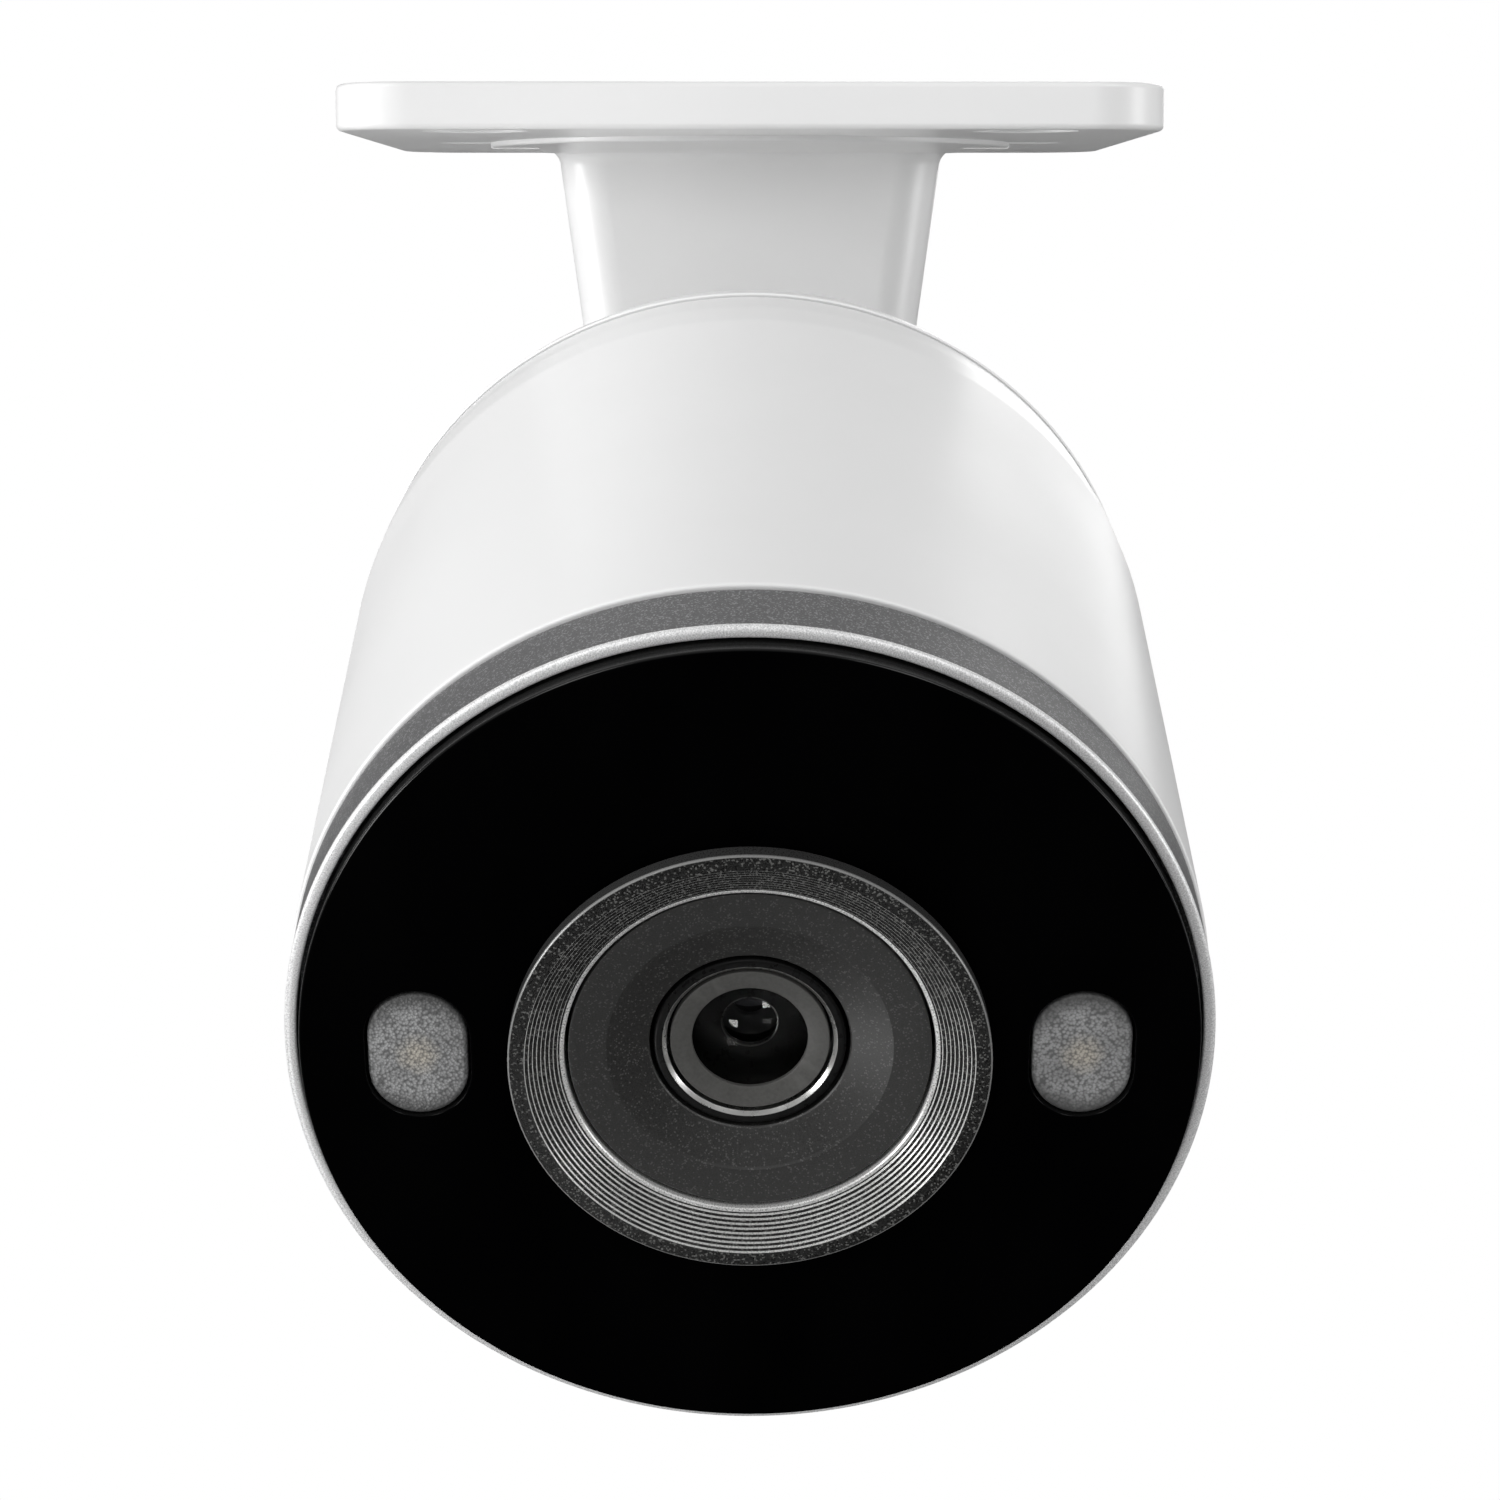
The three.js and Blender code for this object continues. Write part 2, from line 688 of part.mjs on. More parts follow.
function rollLockRing() {
  const start = pole + lockRingStart;
  const end = start + lockRingLength;
  const lip = end - lockRingLip;
  const body = solid(turned([
    [stubRadius + gap, flangeBack + gap],
    [flangeRadius, flangeBack + gap],
    [flangeRadius, lip],
    [collarRadius + gap, lip],
    [collarRadius + gap, start],
    [lockRingRadius, start],
    [lockRingRadius, end - lockRingChamfer],
    [lockRingRadius - lockRingChamfer, end],
    [stubRadius + gap, end],
  ], round));
  const flutes = [];
  for (let i = 0; i < lockRingFlutes; i++) {
    const angle = 2 * Math.PI * i / lockRingFlutes;
    flutes.push(disc(lockRingFlute, start - over, end + over, 8)
      .translate(lockRingRadius * Math.cos(angle), 0, lockRingRadius * Math.sin(angle)));
  }
  return geometryOf(cut(body, flutes));
}

add(camera, 'roll_lock_ring', rollLockRing(), finish.whitePaint);

// ---- housing ---------------------------------------------------------------------------

/** Profile points of a seal's groove in a spigot, from front to back. */
function groove(y) {
  const half = sealSection + gap;
  const floor = sealRadius - sealSection - gap;
  return [[spigotOuter, y - half], [floor, y - half], [floor, y + half], [spigotOuter, y + half]];
}

const capSealY = capSeam - sealFromShoulder;
const bezelSealY = bezelDepth + sealFromShoulder;

function rearCap() {
  const seamAngle = THREE.MathUtils.radToDeg(Math.asin(seamSetback / capRadius));
  const innerAngle = THREE.MathUtils.radToDeg(Math.acos(spigotInner / capInner));
  const outer = arc(0, domeCentre, capRadius, seamAngle, 90, 9);
  const inner = arc(0, domeCentre, capInner, 90, innerAngle, 7);
  // both arcs meet the axis exactly
  outer[outer.length - 1][0] = 0;
  inner[0][0] = 0;
  const skin = solid(turned([
    ...inner,
    [spigotInner, capSeam - spigotLength],
    [spigotOuter, capSeam - spigotLength],
    ...groove(capSealY),
    [spigotOuter, capSeam],
    ...outer,
  ], round));
  const collarEnd = pole + collarLength;
  const pad = solid(disc(collarRadius, pole - collarPad, pole - over, medium));
  const collar = solid(ring(flangeRadius + gap, collarRadius, pole - collarPad, collarEnd, medium));
  const pocket = disc(flangeRadius + gap, rollWasherFront - gap, collarEnd + over, medium);
  const boss = solid(disc(glandBossRadius, glandBossStart, glandSeat, medium).translate(0, 0, -glandOffset));
  const spotface = disc(glandHead + gap, glandSeat, glandSeat + glandTail, medium);
  const hole = disc(glandRadius + gap, glandBossStart - glandTail, glandSeat + over, medium);
  const cupped = cut(skin.add(pad).add(boss), [spotface.translate(0, 0, -glandOffset)]);
  return geometryOf(cut(cupped.add(collar), [pocket, hole.translate(0, 0, -glandOffset)]));
}

add(camera, 'rear_cap', rearCap(), finish.whitePaint);
add(camera, 'cap_seal', seal(capSealY), finish.rubber);

function frontShell() {
  const end = capSeam - gap;
  const seamAngle = THREE.MathUtils.radToDeg(Math.asin((end - domeCentre) / domeRadius));
  return turned([
    [shellInner, bezelDepth + gap],
    [shellFrontRadius, bezelDepth + gap],
    ...arc(0, domeCentre, domeRadius, 0, seamAngle, 4),
    [shellInner, end],
  ], round);
}

add(camera, 'front_shell', frontShell(), finish.whitePaint);

function bezelRing() {
  const seatBack = seatFront + seatThickness;
  return turned([
    [spigotOuter, bezelDepth],
    [bezelRadius, bezelDepth],
    ...arc(bezelRadius - bezelEdge, bezelEdge, bezelEdge, 0, -90, 4),
    [windowRadius + gap, 0],
    [windowRadius + gap, seatFront],
    [seatInner, seatFront],
    [seatInner, seatBack],
    [bezelBore, seatBack + over],
    [bezelBore, bezelSpigotEnd],
    [spigotOuter, bezelSpigotEnd],
    ...groove(bezelSealY).reverse(),
  ], round);
}

add(camera, 'bezel_ring', bezelRing(), finish.greyMetal);
add(camera, 'bezel_seal', seal(bezelSealY), finish.rubber);

const gasket = ring(seatInner, windowRadius, gasketFront, gasketFront + gasketThickness, round);
add(camera, 'window_gasket', gasket, finish.rubber);

function frontWindow() {
  const lampHoles = [-1, 1].map((side) => (
    lampPrism(gap, windowFront - over, windowBack + over, side * lampOffset)
  ));
  return geometryOf(cut(solid(ring(windowHole, windowRadius, windowFront, windowBack, round)), lampHoles));
}

add(camera, 'front_window', frontWindow(), finish.blackGloss);

// ---- lens trim and lens ----------------------------------------------------------------
function lensTrimRing() {
  const steps = [];
  for (let i = 0; i < trimStepCount; i++) {
    const r = trimRadius - trimFlat - i * trimStep;
    const y = trimFront + i * trimStepDrop;
    steps.push([r, y], [r, y + trimStepDrop]);
  }
  return turned([
    [trimRadius, trimBack],
    [trimRadius, trimFront],
    ...steps,
    [trimInner, trimStepsEnd],
    [trimInner, trimBack + trimSleeveLength],
    [sleeveOuter, trimBack + trimSleeveLength],
    [sleeveOuter, trimBack],
  ], round);
}

add(camera, 'lens_trim_ring', lensTrimRing(), finish.darkTrim);

/** The shallow dish between the trim ring and the lens, with a collar round the barrel. */
function lensBaffle() {
  const outer = trimInner - gap;
  const inner = barrelRadius + gap;
  const front = trimStepsEnd + baffleDrop;
  const back = barrelFront + baffleThickness;
  return turned([
    [outer, front],
    [inner, barrelFront],
    [inner, back + baffleCollar],
    [inner + baffleCollarWall, back + baffleCollar],
    [inner + baffleCollarWall, back],
    [outer, front + 2 * baffleThickness],
  ], round);
}

add(camera, 'lens_baffle', lensBaffle(), finish.darkTrim);

function lensBarrel() {
  return turned([
    [barrelRadius, barrelFront],
    [barrelRadius, barrelShoulder],
    [barrelNeckRadius, barrelShoulder],
    [barrelNeckRadius, barrelEnd],
    [rearGlassRadius + gap, barrelEnd],
    [rearGlassRadius + gap, rearGlassFront - gap],
    [barrelStop, rearGlassFront - gap],
    [barrelStop, innerGlassBack + gap],
    [frontBore, innerGlassBack + gap],
    [frontBore, barrelFront],
  ], medium);
}

/** A round glass with a domed front and a flat back. */
function glass(radius, front, back, rise) {
  const sphere = (radius ** 2 + rise ** 2) / (2 * rise);
  const half = THREE.MathUtils.radToDeg(Math.asin(radius / sphere));
  const crown = arc(0, front + sphere, sphere, -90, -90 + half, 3);
  crown[0][0] = 0;
  return turned([...crown, [radius, back], [0, back]], medium);
}

add(camera, 'lens_barrel', lensBarrel(), finish.blackPlastic);

const retainerInner = frontGlassRadius - retainerWidth;
const retainerBack = retainerFront + retainerThickness;
const retainer = ring(retainerInner, frontGlassRadius, retainerFront, retainerBack, medium);
add(camera, 'lens_retainer_ring', retainer, finish.steel);

const frontGlass = glass(frontGlassRadius, frontGlassFront, frontGlassBack, frontGlassRise);
add(camera, 'lens_front_glass', frontGlass, finish.glass);

const iris = ring(irisOpening, frontGlassRadius, irisFront, irisFront + irisThickness, medium);
add(camera, 'lens_iris', iris, finish.chip);

const innerGlass = glass(innerGlassRadius, innerGlassFront, innerGlassBack, innerGlassRise);
add(camera, 'lens_inner_glass', innerGlass, finish.glass);

const rearGlass = glass(rearGlassRadius, rearGlassFront, rearGlassFront + rearGlassThickness, rearGlassRise);
add(camera, 'lens_rear_glass', rearGlass, finish.glass);

function lensHolder() {
  const top = barrelShoulder + holderSetback;
  const bore = barrelNeckRadius + gap;
  const base = solid(slab(holderSize, holderSize, sensorBack - holderBase, sensorBack));
  const tower = solid(disc(bore + holderTowerWall, top, sensorBack - over, medium));
  const cavityFront = sensorBack - holderBase + holderFloor;
  return geometryOf(cut(base.add(tower), [
    disc(bore, top - over, sensorBack + over, medium),
    slab(holderCavity, holderCavity, cavityFront, sensorBack + over),
  ]));
}

add(camera, 'lens_holder', lensHolder(), finish.blackPlastic);
add(camera, 'ir_cut_filter', slab(filterSize, filterSize, filterFront, filterBack), finish.glass);
add(camera, 'image_sensor', slab(sensorWidth, sensorHeight, sensorFront, sensorBack), finish.chip);

// ---- lamps -----------------------------------------------------------------------------
const cupBack = lampBoardFront - gap;

/** A flared reflector between the lamp board and the window's seat. */
function reflector(x) {
  const mouth = lampWidth / 2 + cupFrontMargin;
  return turned([
    [mouth, seatFront],
    [mouth + cupWall, seatFront],
    [cupBackRadius + cupWall, cupBack],
    [cupBackRadius, cupBack],
  ], small).translate(x, 0, 0);
}

for (const [side, x] of [['left', -lampOffset], ['right', lampOffset]]) {
  const chip = slab(chipSize, chipSize, cupBack - chipThickness, cupBack, x);
  const diffuser = lampPrism(0, windowFront + diffuserSink, windowBack, x);
  add(camera, `lamp_diffuser_${side}`, diffuser, finish.diffuser);
  add(camera, `lamp_chip_${side}`, chip, finish.lamp);
  add(camera, `lamp_reflector_${side}`, reflector(x), finish.aluminium);
}

/** Clearance holes for the two screws that fix the lamp board to the frame. */
function lampScrewHoles(y0, y1) {
  return [-1, 1].map((side) => (
    disc(screwHole, y0 - over, y1 + over, small).translate(0, 0, side * lampScrewCircle)
  ));
}

const lampBoard = solid(ring(lampBoardInner, lampBoardOuter, lampBoardFront, lampBoardBack, round));
const drilledLampBoard = geometryOf(cut(lampBoard, lampScrewHoles(lampBoardFront, lampBoardBack)));
add(camera, 'lamp_board', drilledLampBoard, finish.board);

/** A pan-head screw along the body axis: its head ends at y = 0 and its shank runs back. */
function boardScrew(length) {
  return turned([
    [0, -boardScrewHeadHeight],
    [boardScrewHead, -boardScrewHeadHeight],
    [boardScrewHead, 0],
    [boardScrewRadius, 0],
    [boardScrewRadius, length],
    [0, length],
  ], small);
}

for (const [side, sign] of [['top', 1], ['bottom', -1]]) {
  const start = lampBoardFront - gap;
  const screw = boardScrew(frameBack + lampScrewTip - start).translate(0, start, sign * lampScrewCircle);
  add(camera, `lamp_board_screw_${side}`, screw, finish.steel);
}

// ---- frame and boards ------------------------------------------------------------------
function innerFrame() {
  const body = solid(turned([
    [frameInner, frameFront],
    [frameOuter, frameFront],
    [frameOuter, frameFront + frameRim],
    [frameOuter - frameRimWall, frameFront + frameRim],
    [frameOuter - frameRimWall, frameBack],
    [frameInner, frameBack],
  ], round));
  return geometryOf(cut(body, lampScrewHoles(frameFront, frameBack)));
}

add(camera, 'inner_frame', innerFrame(), finish.blackPlastic);

const standoffPlaces = [90, 210, 330].map((degrees) => {
  const angle = THREE.MathUtils.degToRad(degrees);
  return [standoffCircle * Math.cos(angle), standoffCircle * Math.sin(angle)];
});

/** A board with a clearance hole for each standoff screw. */
function drilled(board, y0, y1) {
  const holes = standoffPlaces.map(([x, z]) => (
    disc(screwHole, y0 - over, y1 + over, small).translate(x, 0, z)
  ));
  return geometryOf(cut(solid(board), holes));
}

const sensorBoard = slab(sensorBoardSize, sensorBoardSize, sensorBoardFront, sensorBoardBack);
add(camera, 'sensor_board', drilled(sensorBoard, sensorBoardFront, sensorBoardBack), finish.board);

const mainBoard = disc(mainBoardRadius, mainFront, mainBack, round);
add(camera, 'main_board', drilled(mainBoard, mainFront, mainBack), finish.board);

/** A hexagonal standoff with a through hole, centred on x and z. */
function standoff(y0, y1, x, z) {
  const hole = disc(screwHole, y0 - over, y1 + over, small);
  return geometryOf(cut(solid(hexagon(standoffAcross, y0, y1)), [hole])).translate(x, 0, z);
}

standoffPlaces.forEach(([x, z], i) => {
  const length = boardThickness + standoffLength - screwTipShort;
  const screw = boardScrew(length).rotateX(Math.PI).translate(x, mainBack + gap, z);
  add(camera, `board_standoff_${i + 1}`, standoff(standoffStart, standoffEnd, x, z), finish.aluminium);
  add(camera, `board_screw_${i + 1}`, screw, finish.steel);
});

const processor = slab(processorSize, processorSize, processorFront, processorBack);
add(camera, 'processor', processor, finish.chip);
add(camera, 'heat_pad', slab(processorSize, processorSize, padFront, padBack), finish.rubber);

function heatSink() {
  const base = sinkFront + sinkBase;
  const pitch = (sinkSize - finThickness) / (finCount - 1);
  let body = solid(slab(sinkSize, sinkSize, sinkFront, base));
  for (let i = 0; i < finCount; i++) {
    const x = (finThickness - sinkSize) / 2 + i * pitch;
    body = body.add(solid(slab(finThickness, sinkSize, base - sinkBase / 2, base + finHeight, x)));
  }
  return geometryOf(body);
}

add(camera, 'heat_sink', heatSink(), finish.aluminium);

for (const [side, sign] of [['top', 1], ['bottom', -1]]) {
  const z = sign * (powerBoardRadius - powerStandoffInset);
  const post = standoff(powerStandoffStart, powerStandoffEnd, 0, z);
  add(camera, `power_standoff_${side}`, post, finish.aluminium);
}

add(camera, 'power_board', disc(powerBoardRadius, powerFront, powerBack, round), finish.board);

const inductorEnd = powerPartsFront + inductorHeight;
const inductor = disc(inductorRadius, powerPartsFront, inductorEnd, small);
add(camera, 'power_inductor', inductor.translate(-powerPartsX, 0, powerPartsZ), finish.chip);

const capacitorEnd = powerPartsFront + capacitorHeight;
const capacitor = disc(capacitorRadius, powerPartsFront, capacitorEnd, small);
add(camera, 'power_capacitor', capacitor.translate(powerPartsX, 0, powerPartsZ), finish.aluminium);

const connectorEnd = powerPartsFront + connectorDepth;
const connector = slab(connectorWidth, connectorHeight, powerPartsFront, connectorEnd, 0, connectorZ);
add(camera, 'cable_connector', connector, finish.nylon);

// ---- cable gland -------------------------------------------------------------------------
function cableGland() {
  const start = glandNutBack - glandNutThickness - gap;
  const seat = glandSeat + gap;
  const headEnd = seat + glandHeadThickness;
  const tail = glandBore + glandTailWall;
  return turned([
    [glandBore, start],
    [glandRadius, start],
    [glandRadius, seat],
    [glandHead, seat],
    [glandHead, headEnd],
    [glandRadius, headEnd + glandTaper],
    [tail, headEnd + glandTail],
    [glandBore, headEnd + glandTail],
  ], medium).translate(0, 0, -glandOffset);
}

add(camera, 'cable_gland', cableGland(), finish.rubber);

const glandNut = ring(glandNutInner, glandNutRadius, glandNutBack - glandNutThickness, glandNutBack, medium);
add(camera, 'gland_nut', glandNut.translate(0, 0, -glandOffset), finish.nylon);

// ---- placing the moving groups -----------------------------------------------------------
swivel.position.set(0, panY, 0);

const lean = THREE.MathUtils.degToRad(tiltRest);
for (const group of [tilting, camera]) {
  group.rotation.x = lean;
  group.position.set(0, panY - tiltS * Math.cos(lean), tiltZ - tiltS * Math.sin(lean));
}

const securityCamera = new THREE.Group();
securityCamera.add(bracket, swivel, tilting, camera);
export default securityCamera;
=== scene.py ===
# Security camera on a ceiling bracket. Sizes are in millimetres until they reach a mesh.
import bpy
import bmesh
import json
import math
from mathutils import Matrix, Vector


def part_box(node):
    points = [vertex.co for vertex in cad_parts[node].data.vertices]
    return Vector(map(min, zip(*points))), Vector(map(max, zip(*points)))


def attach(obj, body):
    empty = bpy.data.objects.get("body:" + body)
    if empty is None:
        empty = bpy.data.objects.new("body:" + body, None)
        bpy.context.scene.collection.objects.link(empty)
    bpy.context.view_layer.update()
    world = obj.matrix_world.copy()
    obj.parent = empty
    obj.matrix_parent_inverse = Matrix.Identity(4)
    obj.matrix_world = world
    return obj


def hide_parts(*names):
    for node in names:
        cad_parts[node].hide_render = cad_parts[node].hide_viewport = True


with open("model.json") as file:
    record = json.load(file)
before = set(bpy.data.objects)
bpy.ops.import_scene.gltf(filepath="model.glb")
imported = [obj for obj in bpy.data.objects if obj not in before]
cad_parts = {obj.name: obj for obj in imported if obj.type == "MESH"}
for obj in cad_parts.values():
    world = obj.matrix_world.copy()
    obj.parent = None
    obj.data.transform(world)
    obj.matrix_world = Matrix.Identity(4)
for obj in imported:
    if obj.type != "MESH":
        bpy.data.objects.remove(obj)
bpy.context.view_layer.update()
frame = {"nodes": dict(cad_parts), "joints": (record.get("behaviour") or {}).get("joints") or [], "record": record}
mm = 0.001
print("frame loaded:", len(frame["nodes"]), "nodes")

# the camera body turns about this axis, which runs back from the lens
joints = {joint["name"]: joint for joint in frame["joints"]}
tiltPivot = Vector(joints["tilt"]["pos_m"])
bodyAxis = Vector(joints["roll"]["axis"]).normalized()
panPivot = Vector(joints["pan"]["pos_m"])


def nodePoints(node):
    return [vertex.co.copy() for vertex in frame["nodes"][node].data.vertices]


faceDistance = min((point - tiltPivot).dot(bodyAxis) for point in nodePoints("bezel_ring"))
faceCentre = tiltPivot + bodyAxis * faceDistance
bodyTurn = Vector((0, 1, 0)).rotation_difference(bodyAxis).to_matrix().to_4x4()
bodyPlace = Matrix.Translation(faceCentre) @ bodyTurn  # local +Y runs back, the origin is the face


def span(node, x=0, z=0):
    # front, back, inner and outer of a node about the body axis, or about a line beside it
    local = [bodyPlace.inverted() @ point / mm for point in nodePoints(node)]
    radii = [math.hypot(point.x - x, point.z - z) for point in local]
    depths = [point.y for point in local]
    return {"front": min(depths), "back": max(depths), "inner": min(radii), "outer": max(radii)}


def turnAbout(axis, degrees=90):
    return Matrix.Rotation(math.radians(degrees), 4, axis)


# tools that build meshes

def filleted(corners, closed=True, steps=4):
    # corners are (radius, depth) or (radius, depth, fillet)
    points = []
    count = len(corners)
    for index, corner in enumerate(corners):
        here = Vector(corner[:2])
        fillet = corner[2] if len(corner) > 2 else 0
        before = Vector(corners[index - 1][:2]) - here
        after = Vector(corners[(index + 1) % count][:2]) - here
        reach = 0
        if fillet and (closed or 0 < index < count - 1):
            half = before.angle(after) / 2
            reach = min(fillet / math.tan(half), 0.48 * before.length, 0.48 * after.length)
        if reach < 0.001:
            # a sharp corner, or the outline runs straight on
            points.append(here)
            continue
        start = here + before.normalized() * reach
        end = here + after.normalized() * reach
        for step in range(steps + 1):
            t = step / steps
            points.append(start * (1 - t) ** 2 + here * 2 * t * (1 - t) + end * t ** 2)
    return points


def heldEdges(profile, closed=True, near=0.45):
    # long flats get a loop close to each end, which keeps edge wear and shading at the edge
    held = []
    for index, point in enumerate(profile):
        here = Vector(point)
        held.append(here)
        if index == len(profile) - 1 and not closed:
            break
        along = Vector(profile[(index + 1) % len(profile)]) - here
        if along.length > 4 * near:
            held.append(here + along.normalized() * near)
            held.append(here + along - along.normalized() * near)
    return held


def arcPoints(centreDepth, radius, fromAngle, toAngle, steps):
    # (radius, depth) points on a sphere about the axis, angles in degrees from the side to the pole
    angles = [math.radians(fromAngle + (toAngle - fromAngle) * step / steps) for step in range(steps + 1)]
    return [(radius * math.cos(angle), centreDepth + radius * math.sin(angle)) for angle in angles]


def put(name, data):
    thing = bpy.data.objects.new(name, data)
    bpy.context.scene.collection.objects.link(thing)
    return thing


def smoothMesh(mesh, angle=32):
    mesh.shade_smooth()
    mesh.set_sharp_from_angle(angle=math.radians(angle))


def meshFrom(build, name):
    mesh = bpy.data.meshes.new(name)
    build.to_mesh(mesh)
    build.free()
    smoothMesh(mesh)
    return mesh


def placed(name, mesh, place, slotName, body, stands, finishName=None):
    # one finished piece: in place, painted, riding on its body and standing for its CAD nodes
    piece = put(name, mesh)
    piece.matrix_world = place
    mesh.materials.clear()
    mesh.materials.append(finishes[finishName or slotName])
    even = piece.modifiers.new("evenNormals", "WEIGHTED_NORMAL")
    even.keep_sharp = True
    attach(piece, body)
    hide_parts(*stands)


def latheMesh(name, profile, sides=144, closed=True, shape=None, centre=(0, 0)):
    # turns (radius, depth) points about local Y; an open profile starts and ends on the axis
    build = bmesh.new()
    rings = []
    for radius, depth in heldEdges(profile, closed):
        if radius < 1e-6:
            rings.append([build.verts.new((centre[0] * mm, depth * mm, centre[1] * mm))])
            continue
        ring = []
        for side in range(sides):
            angle = 2 * math.pi * side / sides
            r = shape(radius, depth, angle) if shape else radius
            x = centre[0] + r * math.cos(angle)
            z = centre[1] + r * math.sin(angle)
            ring.append(build.verts.new((x * mm, depth * mm, z * mm)))
        rings.append(ring)
    pairs = list(zip(rings, rings[1:]))
    if closed:
        pairs.append((rings[-1], rings[0]))
    for low, high in pairs:
        if len(low) == len(high) == 1:
            continue
        for side in range(sides):
            after = (side + 1) % sides
            corners = [low[side % len(low)], high[side % len(high)], high[after % len(high)],
                       low[after % len(low)]]
            build.faces.new(list(dict.fromkeys(corners)))  # a point on the axis is used once
    bmesh.ops.recalc_face_normals(build, faces=build.faces)
    return meshFrom(build, name)


def rodMesh(name, radius, low, high, sides, centre=(0, 0)):
    return latheMesh(name, [(0, low), (radius, low), (radius, high), (0, high)], sides, False, centre=centre)


def turned(name, profile, slotName, node, finishName=None, sides=144, closed=True, shape=None, centre=(0, 0)):
    # a turned piece of the camera body
    mesh = latheMesh(name, profile, sides, closed, shape, centre)
    placed(name, mesh, bodyPlace, slotName, "camera", [node], finishName)


def grown(outline, extra):
    # a closed outline moved outwards by extra, along the mean of its two edge normals
    count = len(outline)
    result = []
    for index in range(count):
        here = Vector(outline[index])
        back = (here - Vector(outline[index - 1])).normalized()
        ahead = (Vector(outline[(index + 1) % count]) - here).normalized()
        normal = Vector((back.y + ahead.y, -back.x - ahead.x))
        normal.normalize()
        result.append(tuple(here + normal * extra / max(0.5, normal.dot(Vector((ahead.y, -ahead.x))))))
    return result


def circleOutline(x, y, radius, sides=48):
    turn = 2 * math.pi / sides
    return [(x + radius * math.cos(turn * i), y + radius * math.sin(turn * i)) for i in range(sides)]


def roundedOutline(width, depth, corner, centreY=0, steps=8, centreX=0):
    points = []
    for sx, sy, start in ((1, 1, 0), (-1, 1, 90), (-1, -1, 180), (1, -1, 270)):
        for step in range(steps + 1):
            angle = math.radians(start + 90 * step / steps)
            x = centreX + sx * (width / 2 - corner) + corner * math.cos(angle)
            y = centreY + sy * (depth / 2 - corner) + corner * math.sin(angle)
            points.append((x, y))
    return points


def rimStations(top, bottom, edge, steps=3, sign=-1):
    # (outward offset, height) stations of a wall with a rounded edge at each end
    angles = [math.pi / 2 * step / steps for step in range(steps + 1)]
    curve = [(sign * edge * (1 - math.sin(angle)), edge * (1 - math.cos(angle))) for angle in angles]
    return [(offset, top - drop) for offset, drop in curve] + [
        (offset, bottom + drop) for offset, drop in reversed(curve)]


def grownStations(outline, *rim):
    return [(grown(outline, offset), height) for offset, height in rimStations(*rim)]


def wallRings(build, stations):
    # a wall through stations, each (outline, height) from top to bottom
    rings = [[build.verts.new((x * mm, y * mm, height * mm)) for x, y in outline]
             for outline, height in stations]
    for high, low in zip(rings, rings[1:]):
        for side in range(len(high)):
            after = (side + 1) % len(high)
            build.faces.new((high[side], high[after], low[after], low[side]))
    return rings


def fillBetween(build, *ends):
    edges = [build.edges.get((ring[side], ring[(side + 1) % len(ring)])) for ring in ends
             for side in range(len(ring))]
    bmesh.ops.triangle_fill(build, use_beauty=True, edges=edges)


def walledMesh(name, loops, turn=None):
    # the outer wall and the walls of any holes, with a cap filled between them at each end
    build = bmesh.new()
    walls = [wallRings(build, stations) for stations in loops]
    fillBetween(build, *(wall[0] for wall in walls))
    fillBetween(build, *(wall[-1] for wall in walls))
    bmesh.ops.recalc_face_normals(build, faces=build.faces)
    if turn:
        build.transform(turn)
    return meshFrom(build, name)


def prismMesh(name, outline, low, high, edge=0.0, turn=None):
    stations = grownStations(outline, high, low, edge) if edge else [(outline, high), (outline, low)]
    return walledMesh(name, [stations], turn)


def mended(mesh, gap=0.002):
    # welds points closer than the gap and closes what a cut left open
    build = bmesh.new()
    build.from_mesh(mesh)
    bmesh.ops.remove_doubles(build, verts=build.verts, dist=gap * mm)
    bmesh.ops.dissolve_degenerate(build, edges=build.edges, dist=gap * mm)
    loose = [vertex for vertex in build.verts if not vertex.link_faces]
    bmesh.ops.delete(build, geom=loose, context="VERTS")
    bmesh.ops.holes_fill(build, edges=[edge for edge in build.edges if edge.is_boundary])
    bmesh.ops.recalc_face_normals(build, faces=build.faces)
    build.to_mesh(mesh)
    build.free()
    smoothMesh(mesh)
    return mesh


def settled(blank, name, helpers=()):
    # the mesh of an object after its modifiers; the object and its helpers are removed
    bpy.context.view_layer.update()
    result = bpy.data.meshes.new_from_object(blank.evaluated_get(bpy.context.evaluated_depsgraph_get()))
    result.name = name
    for helper in [*helpers, blank]:
        bpy.data.objects.remove(helper)
    result.materials.clear()
    return mended(result)


def carved(mesh, tools, operation="DIFFERENCE"):
    # the mesh after each tool mesh is cut from it or joined to it
    blank = put("blank", mesh)
    helpers = [put("tool", tool) for tool in tools]
    for helper in helpers:
        step = blank.modifiers.new("step", "BOOLEAN")
        step.operation = operation
        step.solver = "EXACT"
        step.object = helper
    return settled(blank, mesh.name, helpers)


def softened(mesh, width, segments=3, angle=40):
    # rounds every edge sharper than the angle
    blank = put("blank", mesh)
    bevel = blank.modifiers.new("bevel", "BEVEL")
    bevel.width = width * mm
    bevel.segments = segments
    bevel.limit_method = "ANGLE"
    bevel.angle_limit = math.radians(angle)
    return settled(blank, mesh.name)


def joined(name, meshes):
    build = bmesh.new()
    for mesh in meshes:
        build.from_mesh(mesh)
    return meshFrom(build, name)


# finishes

